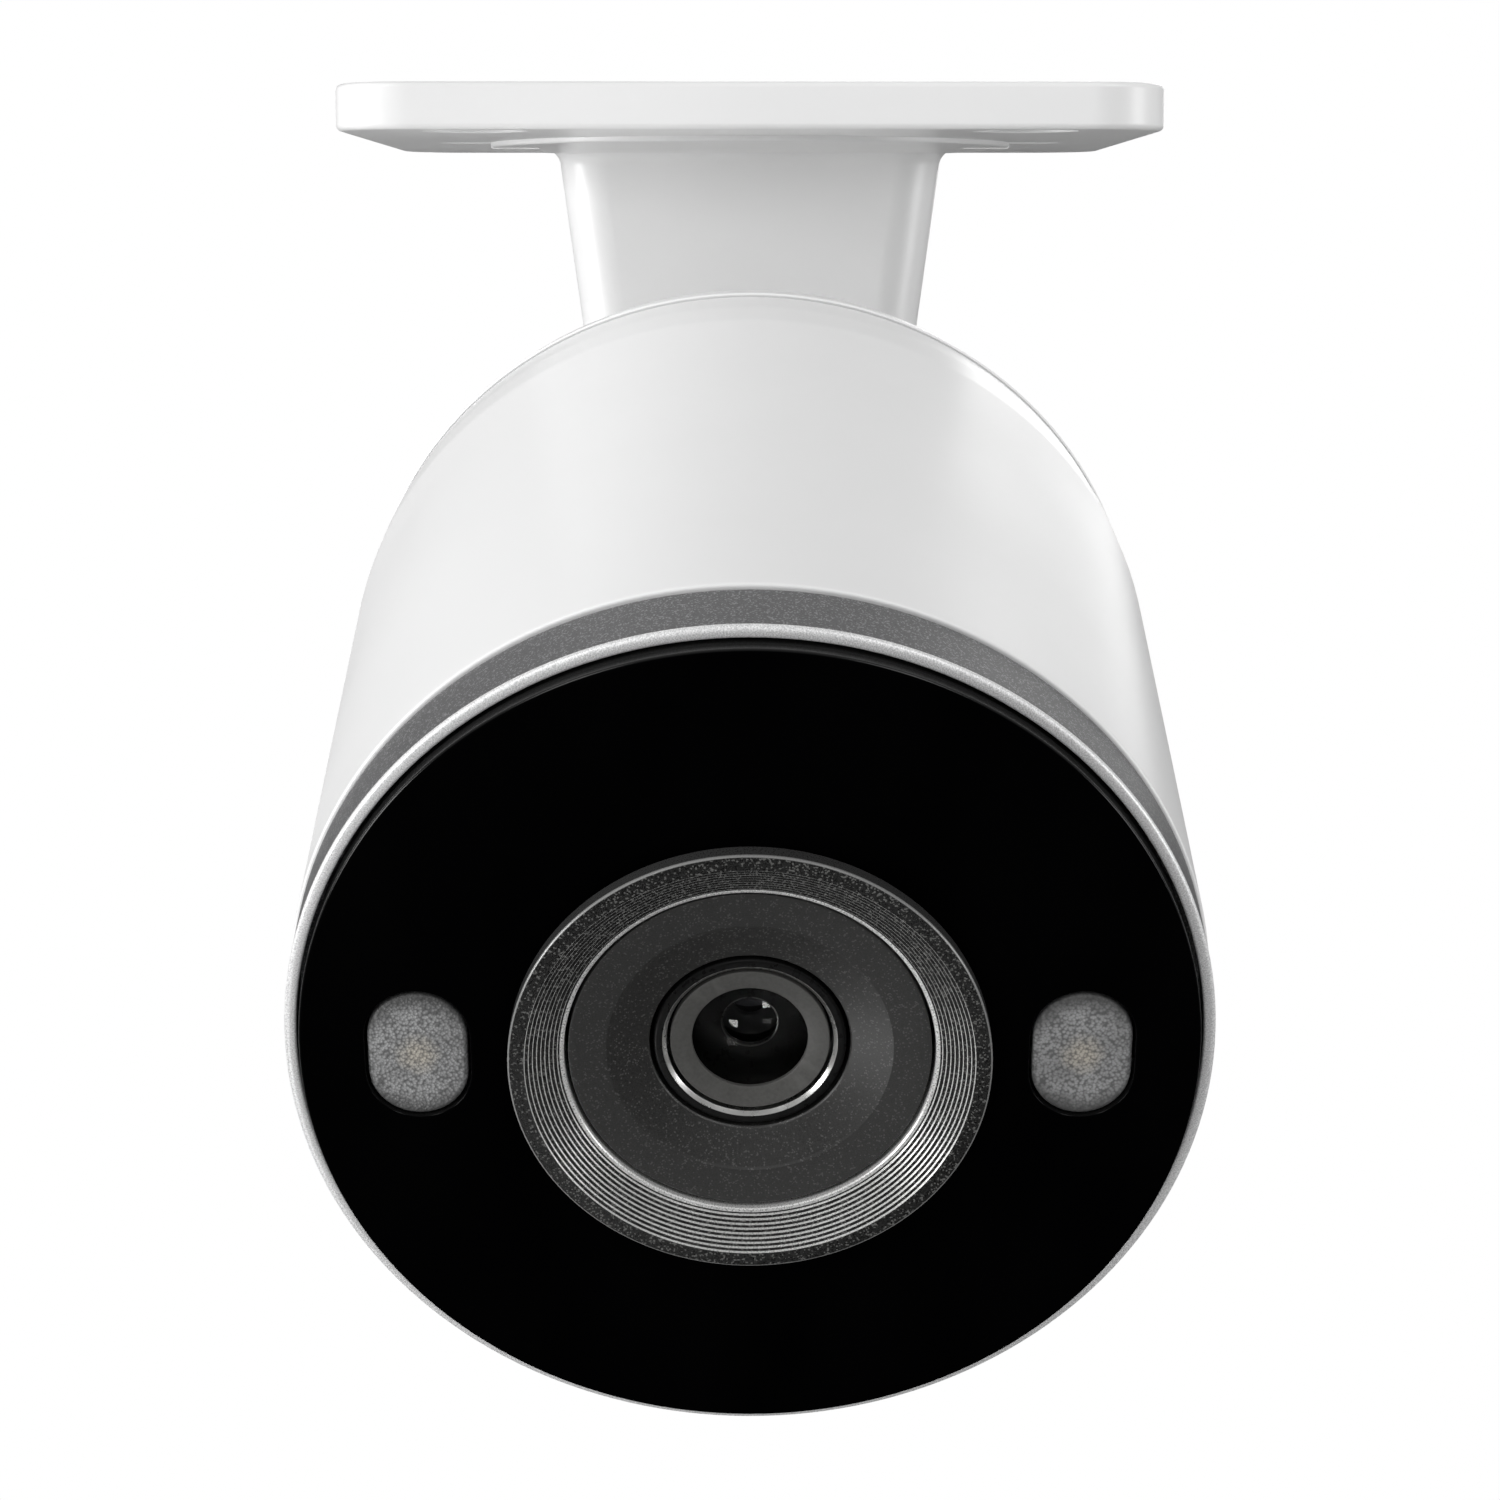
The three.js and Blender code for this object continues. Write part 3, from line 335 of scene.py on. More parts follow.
def fed(tree, kind, *inputs, operation=None, output=0, **named):
    # adds a node whose inputs are values to set or sockets to link, and gives one of its outputs
    node = tree.nodes.new("ShaderNode" + kind)
    if operation:
        node.operation = operation
    for key, value in [*enumerate(inputs), *named.items()]:
        socket = node.inputs[key.replace("_", " ") if isinstance(key, str) else key]
        if isinstance(value, bpy.types.NodeSocket):
            tree.links.new(value, socket)
        else:
            socket.default_value = value
    return node.outputs[output]


def grey(tone):
    return tone, tone, tone


def times(tree, first, second):
    return fed(tree, "Math", first, second, operation="MULTIPLY")


def whereIn(tree):
    return fed(tree, "TexCoord", output="Object")


def groupOf(name, inputs, outputs):
    group = bpy.data.node_groups.new(name, "ShaderNodeTree")
    for label, value in inputs:
        socket = group.interface.new_socket(label, in_out="INPUT", socket_type="NodeSocketFloat")
        socket.default_value = value
    for label in outputs:
        group.interface.new_socket(label, in_out="OUTPUT", socket_type="NodeSocketFloat")
    return group, group.nodes.new("NodeGroupInput").outputs, group.nodes.new("NodeGroupOutput").inputs


def makePaintPeel():
    # the faint ripple and finer grain of sprayed enamel, as a height
    group, start, end = groupOf("paintPeel", [("Scale", 700), ("Grain", 0.25)], ["Height"])
    where = whereIn(group)
    ripple = fed(group, "TexNoise", Vector=where, Scale=start["Scale"], Detail=1)
    fine = fed(group, "TexNoise", Vector=where, Scale=times(group, start["Scale"], 6), Detail=3)
    group.links.new(fed(group, "Math", ripple, times(group, fine, start["Grain"])), end["Height"])
    return group


def makeFlake():
    # small bright flakes scattered in a finish: a mask that is different in each cell
    group, start, end = groupOf("flake", [("Scale", 5000), ("Share", 0.5)], ["Mask", "Tone"])
    where = whereIn(group)
    cells = fed(group, "TexVoronoi", Vector=where, Scale=start["Scale"], output="Color")
    red = fed(group, "SeparateColor", cells)
    group.links.new(fed(group, "Math", red, start["Share"], operation="LESS_THAN"), end["Mask"])
    group.links.new(fed(group, "TexNoise", Vector=where, Scale=start["Scale"], Detail=4), end["Tone"])
    return group


def makeHandling():
    # wear on edges and faint dust in corners, from the shape, broken up by a cloud
    group, start, end = groupOf("handling", [("Edge", 0.5), ("Cloud Scale", 60)], ["Wear", "Dust"])
    bulge = fed(group, "NewGeometry", output="Pointiness")
    edges = fed(group, "MapRange", bulge, From_Min=0.52, From_Max=0.62)
    corners = fed(group, "MapRange", bulge, From_Min=0.49, From_Max=0.40)
    cloud = fed(group, "TexNoise", Vector=whereIn(group), Scale=start["Cloud Scale"], Detail=5)
    group.links.new(times(group, times(group, edges, cloud), start["Edge"]), end["Wear"])
    group.links.new(times(group, corners, cloud), end["Dust"])
    return group


paintPeel = makePaintPeel()
flake = makeFlake()
handling = makeHandling()


def placeGroup(tree, group, **values):
    node = tree.nodes.new("ShaderNodeGroup")
    node.node_tree = group
    for label, value in values.items():
        node.inputs[label.replace("_", " ")].default_value = value
    return node.outputs


def mixColours(tree, factor, low, high):
    mix = tree.nodes.new("ShaderNodeMix")
    mix.data_type = "RGBA"
    for socket, value in ((mix.inputs["A"], low), (mix.inputs["B"], high)):
        if isinstance(value, bpy.types.NodeSocket):
            tree.links.new(value, socket)
        else:
            socket.default_value = (*value, 1)
    tree.links.new(factor, mix.inputs["Factor"])
    return mix.outputs["Result"]


def rangeOf(tree, value, low, high, fromLow=0.3, fromHigh=0.7):
    return fed(tree, "MapRange", value, From_Min=fromLow, From_Max=fromHigh, To_Min=low, To_Max=high)


def noiseOf(tree, scale, detail=2.0, stretch=None):
    where = whereIn(tree)
    if stretch:
        where = fed(tree, "Mapping", where, Scale=stretch)
    return fed(tree, "TexNoise", Vector=where, Scale=scale, Detail=detail)


def depthOf(tree):
    # how far back from the face a point of the camera body lies, in metres
    return fed(tree, "SeparateXYZ", whereIn(tree), output="Y")


def reachOf(tree):
    # how far from its own axis a point lies, in metres
    flat = fed(tree, "VectorMath", whereIn(tree), (1, 0, 1), operation="MULTIPLY")
    return fed(tree, "VectorMath", flat, operation="LENGTH", output="Value")


def bandOf(tree, value, low, high, soft):
    # one inside low to high millimetres, falling to nothing over soft on each side
    rise = rangeOf(tree, value, 0, 1, (low - soft) * mm, low * mm)
    return times(tree, rise, rangeOf(tree, value, 1, 0, high * mm, (high + soft) * mm))


def startMaterial(name, **sockets):
    material = bpy.data.materials.new(name)
    material.use_nodes = True
    shader = material.node_tree.nodes["Principled BSDF"]
    for label, value in sockets.items():
        shader.inputs[label.replace("_", " ")].default_value = value
    return material.node_tree, material


def finished(material, colour, roughness, bump=None, **more):
    # links what a finish is made of to its shader; bump is (height, strength, distance)
    tree = material.node_tree
    links = {"Base_Color": colour, "Roughness": roughness, **more}
    if bump:
        height, strength, distance = bump
        links["Normal"] = fed(tree, "Bump", Strength=strength, Distance=distance * mm, Height=height)
    for label, value in links.items():
        tree.links.new(value, tree.nodes["Principled BSDF"].inputs[label.replace("_", " ")])
    return material


def makeEnamel():
    look = {"colour": grey(0.865), "shade": 0.975, "dusty": (0.74, 0.735, 0.72), "worn": grey(0.9)}
    tree, material = startMaterial("whiteEnamel", Coat_Weight=0.15, Coat_Roughness=0.25)
    peel = placeGroup(tree, paintPeel, Scale=650, Grain=0.3)
    age = placeGroup(tree, handling, Edge=0.6, Cloud_Scale=70)
    cloud = noiseOf(tree, 45, 3)
    shaded = tuple(look["shade"] * c for c in look["colour"])
    base = mixColours(tree, rangeOf(tree, cloud, 0, 1), look["colour"], shaded)
    dusted = mixColours(tree, age["Dust"], base, look["dusty"])
    return finished(material, mixColours(tree, age["Wear"], dusted, look["worn"]),
                    rangeOf(tree, cloud, 0.34, 0.44), (peel["Height"], 0.12, 0.05))


def makeBezelCoat():
    # fine metallic lacquer; the lip at the front is painted much lighter, a painted highlight for the light its
    # edge catches
    look = {"dark": (0.1, 0.1, 0.102), "light": (0.2, 0.2, 0.203), "flakes": (0.3, 0.3, 0.305),
            "lipHighlightDark": (0.6, 0.6, 0.605), "lipHighlightLight": grey(0.98), "lipDepth": 0.5}
    tree, material = startMaterial("bezelCoat", Metallic=0.3)
    grain = placeGroup(tree, flake, Scale=8600, Share=0.16)
    peel = placeGroup(tree, paintPeel, Scale=1500, Grain=0.5)
    base = mixColours(tree, rangeOf(tree, grain["Tone"], 0, 1), look["dark"], look["light"])
    flaked = mixColours(tree, grain["Mask"], base, look["flakes"])
    bright = mixColours(tree, rangeOf(tree, grain["Tone"], 0, 1, 0.35, 0.65), look["lipHighlightDark"], look["lipHighlightLight"])
    # the front lip band is painted near white as a painted highlight
    lip = bandOf(tree, depthOf(tree), -1, look["lipDepth"], 0.05)
    return finished(material, mixColours(tree, lip, flaked, bright), rangeOf(tree, grain["Tone"], 0.36, 0.52),
                    (peel["Height"], 0.2, 0.03))


def makeWindowAcrylic():
    # black behind a clear face; only the polished edge catches light through its coat, and its colour is raised a
    # little as a painted sheen
    look = {"black": (0.0006, 0.0006, 0.0007), "smear": (0.0012, 0.0012, 0.0013), "edge": grey(0.014)}
    tree, material = startMaterial("windowAcrylic", Specular_IOR_Level=0.0, Coat_Roughness=0.12)
    smear = noiseOf(tree, 90, 4, (1, 1, 0.4))
    face = mixColours(tree, rangeOf(tree, smear, 0, 1, 0.35, 0.75), look["black"], look["smear"])
    # the side wall gets a lighter colour, a painted sheen, as well as its coat
    side = rangeOf(tree, depthOf(tree), 0, 1, (window["front"] + 0.06) * mm, (window["front"] + 0.3) * mm)
    return finished(material, mixColours(tree, side, face, look["edge"]), rangeOf(tree, smear, 0.03, 0.07),
                    (noiseOf(tree, 25, 0), 0.02, 0.05), Coat_Weight=side)


def makeTrimCoat():
    # dark lacquer; the risers, the inner lip and the outer edge are painted near white as painted highlights,
    # partly metallic
    look = {"dark": grey(0.003), "light": (0.02, 0.02, 0.0195), "flakes": (0.12, 0.12, 0.116),
            "bright": (0.82, 0.82, 0.81), "wall": grey(0.03), "riserShare": 0.22, "edgeBand": 0.12,
            "lipBand": 0.3}
    tree, material = startMaterial("trimCoat", Specular_IOR_Level=0.3)
    grain = placeGroup(tree, flake, Scale=8200, Share=0.14)
    plain = mixColours(tree, rangeOf(tree, grain["Tone"], 0, 1), look["dark"], look["light"])
    base = mixColours(tree, grain["Mask"], plain, look["flakes"])
    reach = reachOf(tree)
    counted = rangeOf(tree, reach, 0, trimForm["stairs"], stairFoot * mm, stairHead * mm)
    counted.node.clamp = False
    turn = fed(tree, "Math", counted, 0.5, operation="PINGPONG")
    riser = rangeOf(tree, turn, 1, 0, 0.5 * look["riserShare"] - 0.05, 0.5 * look["riserShare"])
    lines = times(tree, riser, bandOf(tree, reach, stairFoot - 0.08, stairHead + 0.08, 0.02))
    lip = bandOf(tree, reach, 0, trim["inner"] + look["lipBand"], 0.05)
    wall = bandOf(tree, reach, trim["outer"] - look["edgeBand"], 99, 0.04)
    front = rangeOf(tree, depthOf(tree), 0.25, 0, (trim["front"] + 0.2) * mm, (trim["front"] + 0.26) * mm)
    either = fed(tree, "Math", lip, times(tree, wall, front), operation="MAXIMUM")
    # the riser lines, the inner lip and the outer front edge are painted highlights
    paintedHighlight = fed(tree, "Math", lines, either, operation="MAXIMUM")
    walled = mixColours(tree, wall, base, look["wall"])
    return finished(material, mixColours(tree, paintedHighlight, walled, look["bright"]),
                    rangeOf(tree, grain["Tone"], 0.22, 0.38), (grain["Tone"], 0.25, 0.02),
                    Metallic=rangeOf(tree, paintedHighlight, 0, 0.6, 0, 1))


def makeDishPlastic():
    look = {"dark": (0.011, 0.011, 0.0105), "light": (0.033, 0.0325, 0.0312), "flakes": (0.075, 0.075, 0.0725)}
    tree, material = startMaterial("dishPlastic", Specular_IOR_Level=0.7)
    grain = placeGroup(tree, flake, Scale=9000, Share=0.08)
    base = mixColours(tree, rangeOf(tree, grain["Tone"], 0, 1), look["dark"], look["light"])
    return finished(material, mixColours(tree, grain["Mask"], base, look["flakes"]),
                    rangeOf(tree, grain["Tone"], 0.36, 0.5), (grain["Tone"], 0.3, 0.02))


def makePlain(name, dark, light, low, high, scale, bump=0.1, distance=0.02, stretch=None, **sockets):
    # a moulded, rolled or drawn finish: tone, gloss and relief all follow one grain
    tree, material = startMaterial(name, **sockets)
    grain = noiseOf(tree, scale, 4, stretch)
    age = placeGroup(tree, handling, Edge=0.5, Cloud_Scale=200)
    base = mixColours(tree, rangeOf(tree, grain, 0, 1), dark, light)
    worn = tuple(min(1, 1.3 * c + 0.02) for c in light)
    return finished(material, mixColours(tree, age["Wear"], base, worn), rangeOf(tree, grain, low, high),
                    (grain, bump, distance))


def makeTurnedBlack(name, bright, highlightFrom, highlightTo, core=grey(0.006), coreTo=0.0):
    # anodised black, with one narrow ring painted much lighter and partly metallic as a painted highlight, and a
    # paler core
    look = {"black": grey(0.006), "bloom": grey(0.009)}
    tree, material = startMaterial(name, Specular_IOR_Level=0.15)
    grain = noiseOf(tree, 1500, 3)
    black = mixColours(tree, rangeOf(tree, grain, 0, 1), look["black"], look["bloom"])
    reach = reachOf(tree)
    cored = mixColours(tree, bandOf(tree, reach, -1, coreTo, 0.1), black, core)
    # this narrow ring is a painted highlight
    paintedHighlight = bandOf(tree, reach, highlightFrom, highlightTo, 0.04)
    return finished(material, mixColours(tree, paintedHighlight, cored, bright), rangeOf(tree, grain, 0.25, 0.35),
                    (grain, 0.03, 0.01), Metallic=paintedHighlight)


def makeGlass(name, tint, roughness, bend):
    tree, material = startMaterial(name, Transmission_Weight=1.0, IOR=bend)
    smear = noiseOf(tree, 400, 3)
    return finished(material, mixColours(tree, smear, tint, tuple(min(1, 1.06 * c) for c in tint)),
                    rangeOf(tree, smear, roughness, roughness + 0.006))


def makeDiffuser():
    # frosted moulding: the unlit lamp shows faintly through its middle and the rim falls off to grey
    look = {"rim": grey(0.085), "field": (0.37, 0.373, 0.376), "pits": grey(0.06),
            "lamp": (0.52, 0.475, 0.4), "lampRadius": 1.1, "fieldRadius": 4.0}
    tree, material = startMaterial("frostedDiffuser", Coat_Roughness=0.25)
    cells = fed(tree, "TexVoronoi", Vector=whereIn(tree), Scale=4200)
    wobble = fed(tree, "Math", noiseOf(tree, 1300, 3), 1.1 * mm, reachOf(tree), operation="MULTIPLY_ADD")
    cloud = noiseOf(tree, 320, 2)
    lampMask = rangeOf(tree, wobble, 0.8, 0, look["lampRadius"] * mm, (look["lampRadius"] + 1.4) * mm)
    rimMask = rangeOf(tree, wobble, 0, 1, look["fieldRadius"] * mm, (look["fieldRadius"] + 1.6) * mm)
    body = mixColours(tree, rimMask, look["field"], look["rim"])
    clouded = mixColours(tree, rangeOf(tree, cloud, 0, 0.45), body, look["rim"])
    glow = mixColours(tree, lampMask, clouded, look["lamp"])
    pits = rangeOf(tree, cells, 0, 0.75, 0.35, 0.8)
    return finished(material, mixColours(tree, pits, glow, look["pits"]),
                    rangeOf(tree, cells, 0.25, 0.5, 0, 0.6), (cells, 0.6, 0.1),
                    Coat_Weight=rangeOf(tree, cloud, 0.1, 0.5))


def makeBoard():
    # solder mask with faint copper tracks under it
    tree, material = startMaterial("solderMask", Coat_Weight=0.3)
    tracks = fed(tree, "TexBrick", whereIn(tree), Scale=260, Mortar_Size=0.03, output="Fac")
    return finished(material, mixColours(tree, tracks, (0.012, 0.09, 0.035), (0.03, 0.17, 0.06)),
                    rangeOf(tree, noiseOf(tree, 900), 0.35, 0.5), (tracks, 0.3, 0.03))


window = span("front_window")
trim = span("lens_trim_ring")
trimForm = {"flat": 1.3, "stairs": 8, "lip": 0.5, "edge": 0.22, "stairEdge": 0.06, "lipEdge": 0.4}
stairFoot = trim["inner"] + trimForm["lip"]
stairHead = trim["outer"] - trimForm["flat"]
finishes = {  # by material slot, then those that some pieces take instead of their slot's own
    "white_enamel": makeEnamel(),
    "grey_enamel": makeBezelCoat(),
    "black_window": makeWindowAcrylic(),
    "dark_trim": makeDishPlastic(),
    "black_plastic": makePlain("blackPlastic", (0.008, 0.008, 0.009), (0.014, 0.014, 0.015), 0.22, 0.34, 2500),
    "rubber": makePlain("siliconeRubber", grey(0.012), grey(0.022), 0.6, 0.75, 1800, 0.3, 0.03),
    "nylon": makePlain("naturalNylon", (0.7, 0.68, 0.61), (0.78, 0.76, 0.69), 0.4, 0.52, 900, 0.08),
    "steel": makePlain("brightSteel", (0.5, 0.5, 0.51), (0.62, 0.62, 0.63), 0.2, 0.32, 2600, 0.06,
                       Metallic=1.0),
    "plain_aluminium": makePlain("plainAluminium", (0.55, 0.56, 0.57), (0.66, 0.67, 0.68), 0.28, 0.42, 1800,
                                 0.08, 0.02, (1, 0.1, 1), Metallic=1.0),
    "lens_glass": makeGlass("coatedGlass", (0.6, 0.6, 0.62), 0.012, 1.5),
    "frosted_diffuser": makeDiffuser(),
    "lamp_phosphor": makePlain("lampPhosphor", (0.8, 0.6, 0.22), (0.9, 0.72, 0.33), 0.5, 0.6, 3000, 0.2),
    "circuit_board": makeBoard(),
    "chip_black": makePlain("chipResin", (0.012, 0.012, 0.013), (0.02, 0.02, 0.022), 0.4, 0.5, 4000, 0.15),
    "trimCoat": makeTrimCoat(),
    # the narrow lighter rings on the barrel and the iris are painted highlights
    "barrelBlack": makeTurnedBlack("barrelBlack", (0.5, 0.5, 0.49), 6.5, 6.78, (0.16, 0.16, 0.155), 2.7),
    "irisBlack": makeTurnedBlack("irisBlack", (0.16, 0.16, 0.155), 2.0, 2.22),
    "ringMetal": makePlain("ringMetal", (0.075, 0.074, 0.07), (0.1, 0.099, 0.094), 0.4, 0.5, 3500, 0.1),
    "frontGlass": makeGlass("frontGlass", (0.95, 0.95, 0.94), 0.012, 1.12),
}
for entry in frame["record"]["subparts"]:
    carried = frame["nodes"][entry["node"]]
    carried.data.materials.clear()
    carried.data.materials.append(finishes[entry["material_slot"]])
    smoothMesh(carried.data, 30)
print("finishes made:", len(finishes))

# camera, light and floor

viewer = {"place": (0, -364.06, -15.34), "pitch": -7.76, "lens": 87.04, "sensor": 36}
cameraData = bpy.data.cameras.new("viewCamera")
cameraData.lens = viewer["lens"]
cameraData.sensor_width = viewer["sensor"]
cameraData.clip_start = 0.01
viewCamera = put("viewCamera", cameraData)
viewCamera.location = [value * mm for value in viewer["place"]]
viewCamera.rotation_euler = (math.radians(90 + viewer["pitch"]), 0, 0)
bpy.context.scene.camera = viewCamera
bpy.context.scene.view_settings.view_transform = "Standard"

studio = {"sky": 0.4, "white": 1.0, "floorZ": -620, "front": -2600, "back": 2200, "half": 3000, "sweep": 900,
          "wall": 2600, "sweepSteps": 12, "paper": grey(0.42), "paperLight": grey(0.44),
          "flag": 0.02, "target": (0, 0, -60)}


def whiteToTheEye(tree, plain, output):
    # the backdrop shows as clean white, and lights the object more softly than it looks
    path = tree.nodes.new("ShaderNodeLightPath").outputs
    white = fed(tree, "Emission", Strength=studio["white"])
    tree.links.new(fed(tree, "MixShader", path["Is Camera Ray"], plain, white), output.inputs["Surface"])
    return path


def makeSweep():
    build = bmesh.new()
    rows = [(studio["front"], studio["floorZ"])]
    for step in range(studio["sweepSteps"] + 1):
        angle = math.radians(90 * step / studio["sweepSteps"])
        rows.append((studio["back"] + studio["sweep"] * math.sin(angle),
                     studio["floorZ"] + studio["sweep"] * (1 - math.cos(angle))))
    rows.append((studio["back"] + studio["sweep"], studio["wall"]))
    previous = None
    for y, z in rows:
        row = [build.verts.new((x * mm, y * mm, z * mm)) for x in (-studio["half"], studio["half"])]
        if previous:
            build.faces.new((previous[0], previous[1], row[1], row[0]))
        previous = row
    mesh = bpy.data.meshes.new("paleSweep")
    build.to_mesh(mesh)
    build.free()
    mesh.shade_smooth()
    sweep = put("paleSweep", mesh)
    tree, material = startMaterial("palePaper")
    finished(material, mixColours(tree, noiseOf(tree, 8), studio["paper"], studio["paperLight"]),
             rangeOf(tree, noiseOf(tree, 40), 0.85, 0.95))
    flag = fed(tree, "BsdfDiffuse", (*grey(studio["flag"]), 1))  # what glossy parts see
    soft = tree.nodes.new("ShaderNodeMixShader")
    tree.links.new(flag, soft.inputs[1])
    tree.links.new(tree.nodes["Principled BSDF"].outputs["BSDF"], soft.inputs[2])
    path = whiteToTheEye(tree, soft.outputs["Shader"], tree.nodes["Material Output"])
    tree.links.new(path["Is Diffuse Ray"], soft.inputs["Fac"])
    mesh.materials.append(material)


makeSweep()
world = bpy.data.worlds.new("softSky")
world.use_nodes = True
skyNodes = world.node_tree.nodes
skyNodes["Background"].inputs["Color"].default_value = (1, 1, 1, 1)
skyNodes["Background"].inputs["Strength"].default_value = studio["sky"]
whiteToTheEye(world.node_tree, skyNodes["Background"].outputs["Background"], skyNodes["World Output"])
bpy.context.scene.world = world

lamps = {  # name: place, size, power
    "keyPanel": ((-1200, -330, 40), 500, 11.5),
    "fillPanel": ((1200, -300, 40), 450, 4.4),
    "frontPanel": ((-100, -1300, 100), 600, 1.0),
    "skyLeft": ((-760, -700, 860), 420, 3.9),
    "skyRight": ((640, -700, 860), 420, 3.2),
    "backPanel": ((300, 1300, 300), 700, 4),
    "lowLeftPanel": ((-220, -270, -375), 120, 0.25),
    "glintLeft": ((-45, -290, -385), 28, 0.02),
    "glintRight": ((50, -370, -370), 24, 0.016),
}
for lampName, (place, size, power) in lamps.items():
    data = bpy.data.lights.new(lampName, "AREA")
    data.size = size * mm
    data.energy = power
    light = put(lampName, data)
    light.location = [value * mm for value in place]
    toTarget = Vector(studio["target"]) * mm - light.location
    light.rotation_euler = toTarget.to_track_quat("-Z", "Y").to_euler()
print("studio set")

# housing

shell = span("front_shell")
bezel = span("bezel_ring")
lockRing = span("roll_lock_ring")
flange = span("tilt_knuckle")
rollWasher = span("roll_friction_washer")
gland = span("cable_gland", 0, -18)


def makeFrontShell():
    form = {"wall": 2.4, "frontRadius": 36.25, "domeCentre": 60.6, "edge": 0.3, "belly": 0.13}
    end = shell["back"]
    endRadius = math.sqrt(shell["outer"] ** 2 - (end - form["domeCentre"]) ** 2)
    inner = form["frontRadius"] - form["wall"]
    profile = filleted([
        (inner, shell["front"], 0.15),
        (form["frontRadius"], shell["front"], form["edge"]),
        (form["frontRadius"] + form["belly"], 0.55 * form["domeCentre"]),
        (shell["outer"], form["domeCentre"]),
        (0.5 * (shell["outer"] + endRadius) + 0.12, 0.5 * (form["domeCentre"] + end)),
        (endRadius, end, 0.2),
        (inner, end, 0.15),
    ])
    turned("shellTube", profile, "white_enamel", "front_shell")


def makeRearCap():
    form = {"domeRadius": 36.75, "domeCentre": 60.6, "wall": 2.4, "collar": 10, "collarBore": 8.3,
            "collarEnd": 4.2, "glandOffset": -18, "padRadius": 6.8, "padProud": 1.4, "spotface": 5.9,
            "spigot": 33.55, "spigotInner": 31.75, "spigotLength": 4.2, "glandHole": 4.3}
    centre = form["domeCentre"]
    pole = centre + form["domeRadius"]
    seam = shell["back"] + 0.3
    fromAngle = math.degrees(math.asin((seam - centre) / form["domeRadius"]))
    collarAngle = math.degrees(math.acos((form["collar"] + 0.9) / form["domeRadius"]))
    innerRadius = form["domeRadius"] - form["wall"]
    innerAngle = math.degrees(math.acos(form["spigotInner"] / innerRadius))
    outer = arcPoints(centre, form["domeRadius"], fromAngle, collarAngle, 26)
    seamRadius, seamDepth = outer[0]
    outerPoints = [(seamRadius - 0.12, seamDepth), (seamRadius, seamDepth + 0.18), *outer[1:]]
    collarFoot = [(form["collar"] + 0.35, outer[-1][1] + 0.32), (form["collar"], outer[-1][1] + 0.95)]
    collarTop = filleted([
        (form["collar"], pole - 1),
        (form["collar"], pole + form["collarEnd"], 0.3),
        (form["collarBore"], pole + form["collarEnd"], 0.3),
        (form["collarBore"], rollWasher["front"] - 0.3, 0.2),
        (0, rollWasher["front"] - 0.3),
    ], closed=False)
    inside = [(0, centre + innerRadius - 2.2), *reversed(arcPoints(centre, innerRadius, innerAngle, 88, 20))]
    back = [(form["spigotInner"], seam - form["spigotLength"]), (form["spigot"], seam - form["spigotLength"]),
            (form["spigot"], seam)]
    outline = [*inside, *back, *outerPoints, *collarFoot, *collarTop]
    skin = latheMesh("capDome", outline[::-1], closed=False)
    seat = centre + math.sqrt(form["domeRadius"] ** 2 - form["glandOffset"] ** 2) + form["padProud"]
    middle = (0, form["glandOffset"])
    spotface = rodMesh("spotface", form["spotface"], seat, seat + 8, 64, middle)
    pad = latheMesh("glandPad", filleted([
        (0, seat - 6), (form["padRadius"], seat - 6), (form["padRadius"], seat, 0.5), (0, seat),
    ], False), 64, False, centre=middle)
    bore = rodMesh("glandBore", form["glandHole"], seat - 12, seat + 6, 48, middle)
    dome = carved(carved(skin, [pad], "UNION"), [spotface, bore])
    placed("domeCap", dome, bodyPlace, "white_enamel", "camera", ["rear_cap"])


def makeBezel():
    form = {"lip": 0.95, "edge": 0.75, "seatDepth": 2.6, "seatWidth": 3.3, "lipEdge": 0.22}
    windowEdge = bezel["outer"] - form["lip"]
    spigot = span("bezel_seal")["outer"] - 0.05
    profile = filleted([
        (spigot, 6.5),
        (bezel["outer"], 6.5, 0.25),
        (bezel["outer"], 0, form["edge"]),
        (windowEdge, 0, form["lipEdge"]),
        (windowEdge, form["seatDepth"]),
        (windowEdge - form["seatWidth"] - 0.3, form["seatDepth"], 0.2),
        (windowEdge - form["seatWidth"] - 0.3, form["seatDepth"] + 1.7),
        (spigot - 2, form["seatDepth"] + 2.7),
        (spigot - 2, bezel["back"]),
        (spigot, bezel["back"], 0.2),
    ])
    turned("bezelBand", profile, "grey_enamel", "bezel_ring", sides=180)


def makeSeal(name, node, sides=12):
    size = span(node)
    section = (size["back"] - size["front"]) / 2
    centre = size["front"] + section
    points = arcPoints(centre, section, 0, 360, sides)[:-1]
    ring = [(size["outer"] - section + radius, depth) for radius, depth in points]
    turned(name, ring, "rubber", node, sides=96)


makeFrontShell()
makeRearCap()
makeBezel()
makeSeal("bezelSealRing", "bezel_seal")
makeSeal("capSealRing", "cap_seal")
print("housing made")

# window, lamps and trim ring

dish = span("lens_baffle")
barrel = span("lens_barrel")
lampLow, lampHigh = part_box("lamp_diffuser_right")
lampOffset = 500 * (lampLow.x + lampHigh.x)
lampSize = {"width": 1000 * (lampHigh.x - lampLow.x), "height": 10.9}
faceTurn = turnAbout("X")  # outline y goes up, outline height goes forward


def lampOutline(extra=0.0, x=0.0, steps=20):
    # two round ends joined by upright sides
    radius = lampSize["width"] / 2 + extra
    lift = (lampSize["height"] - lampSize["width"]) / 2
    points = []
    for start, z in ((0, lift), (math.pi, -lift)):
        for step in range(steps + 1):
            angle = start + math.pi * step / steps
            points.append((x + radius * math.cos(angle), z + radius * math.sin(angle)))
    return points


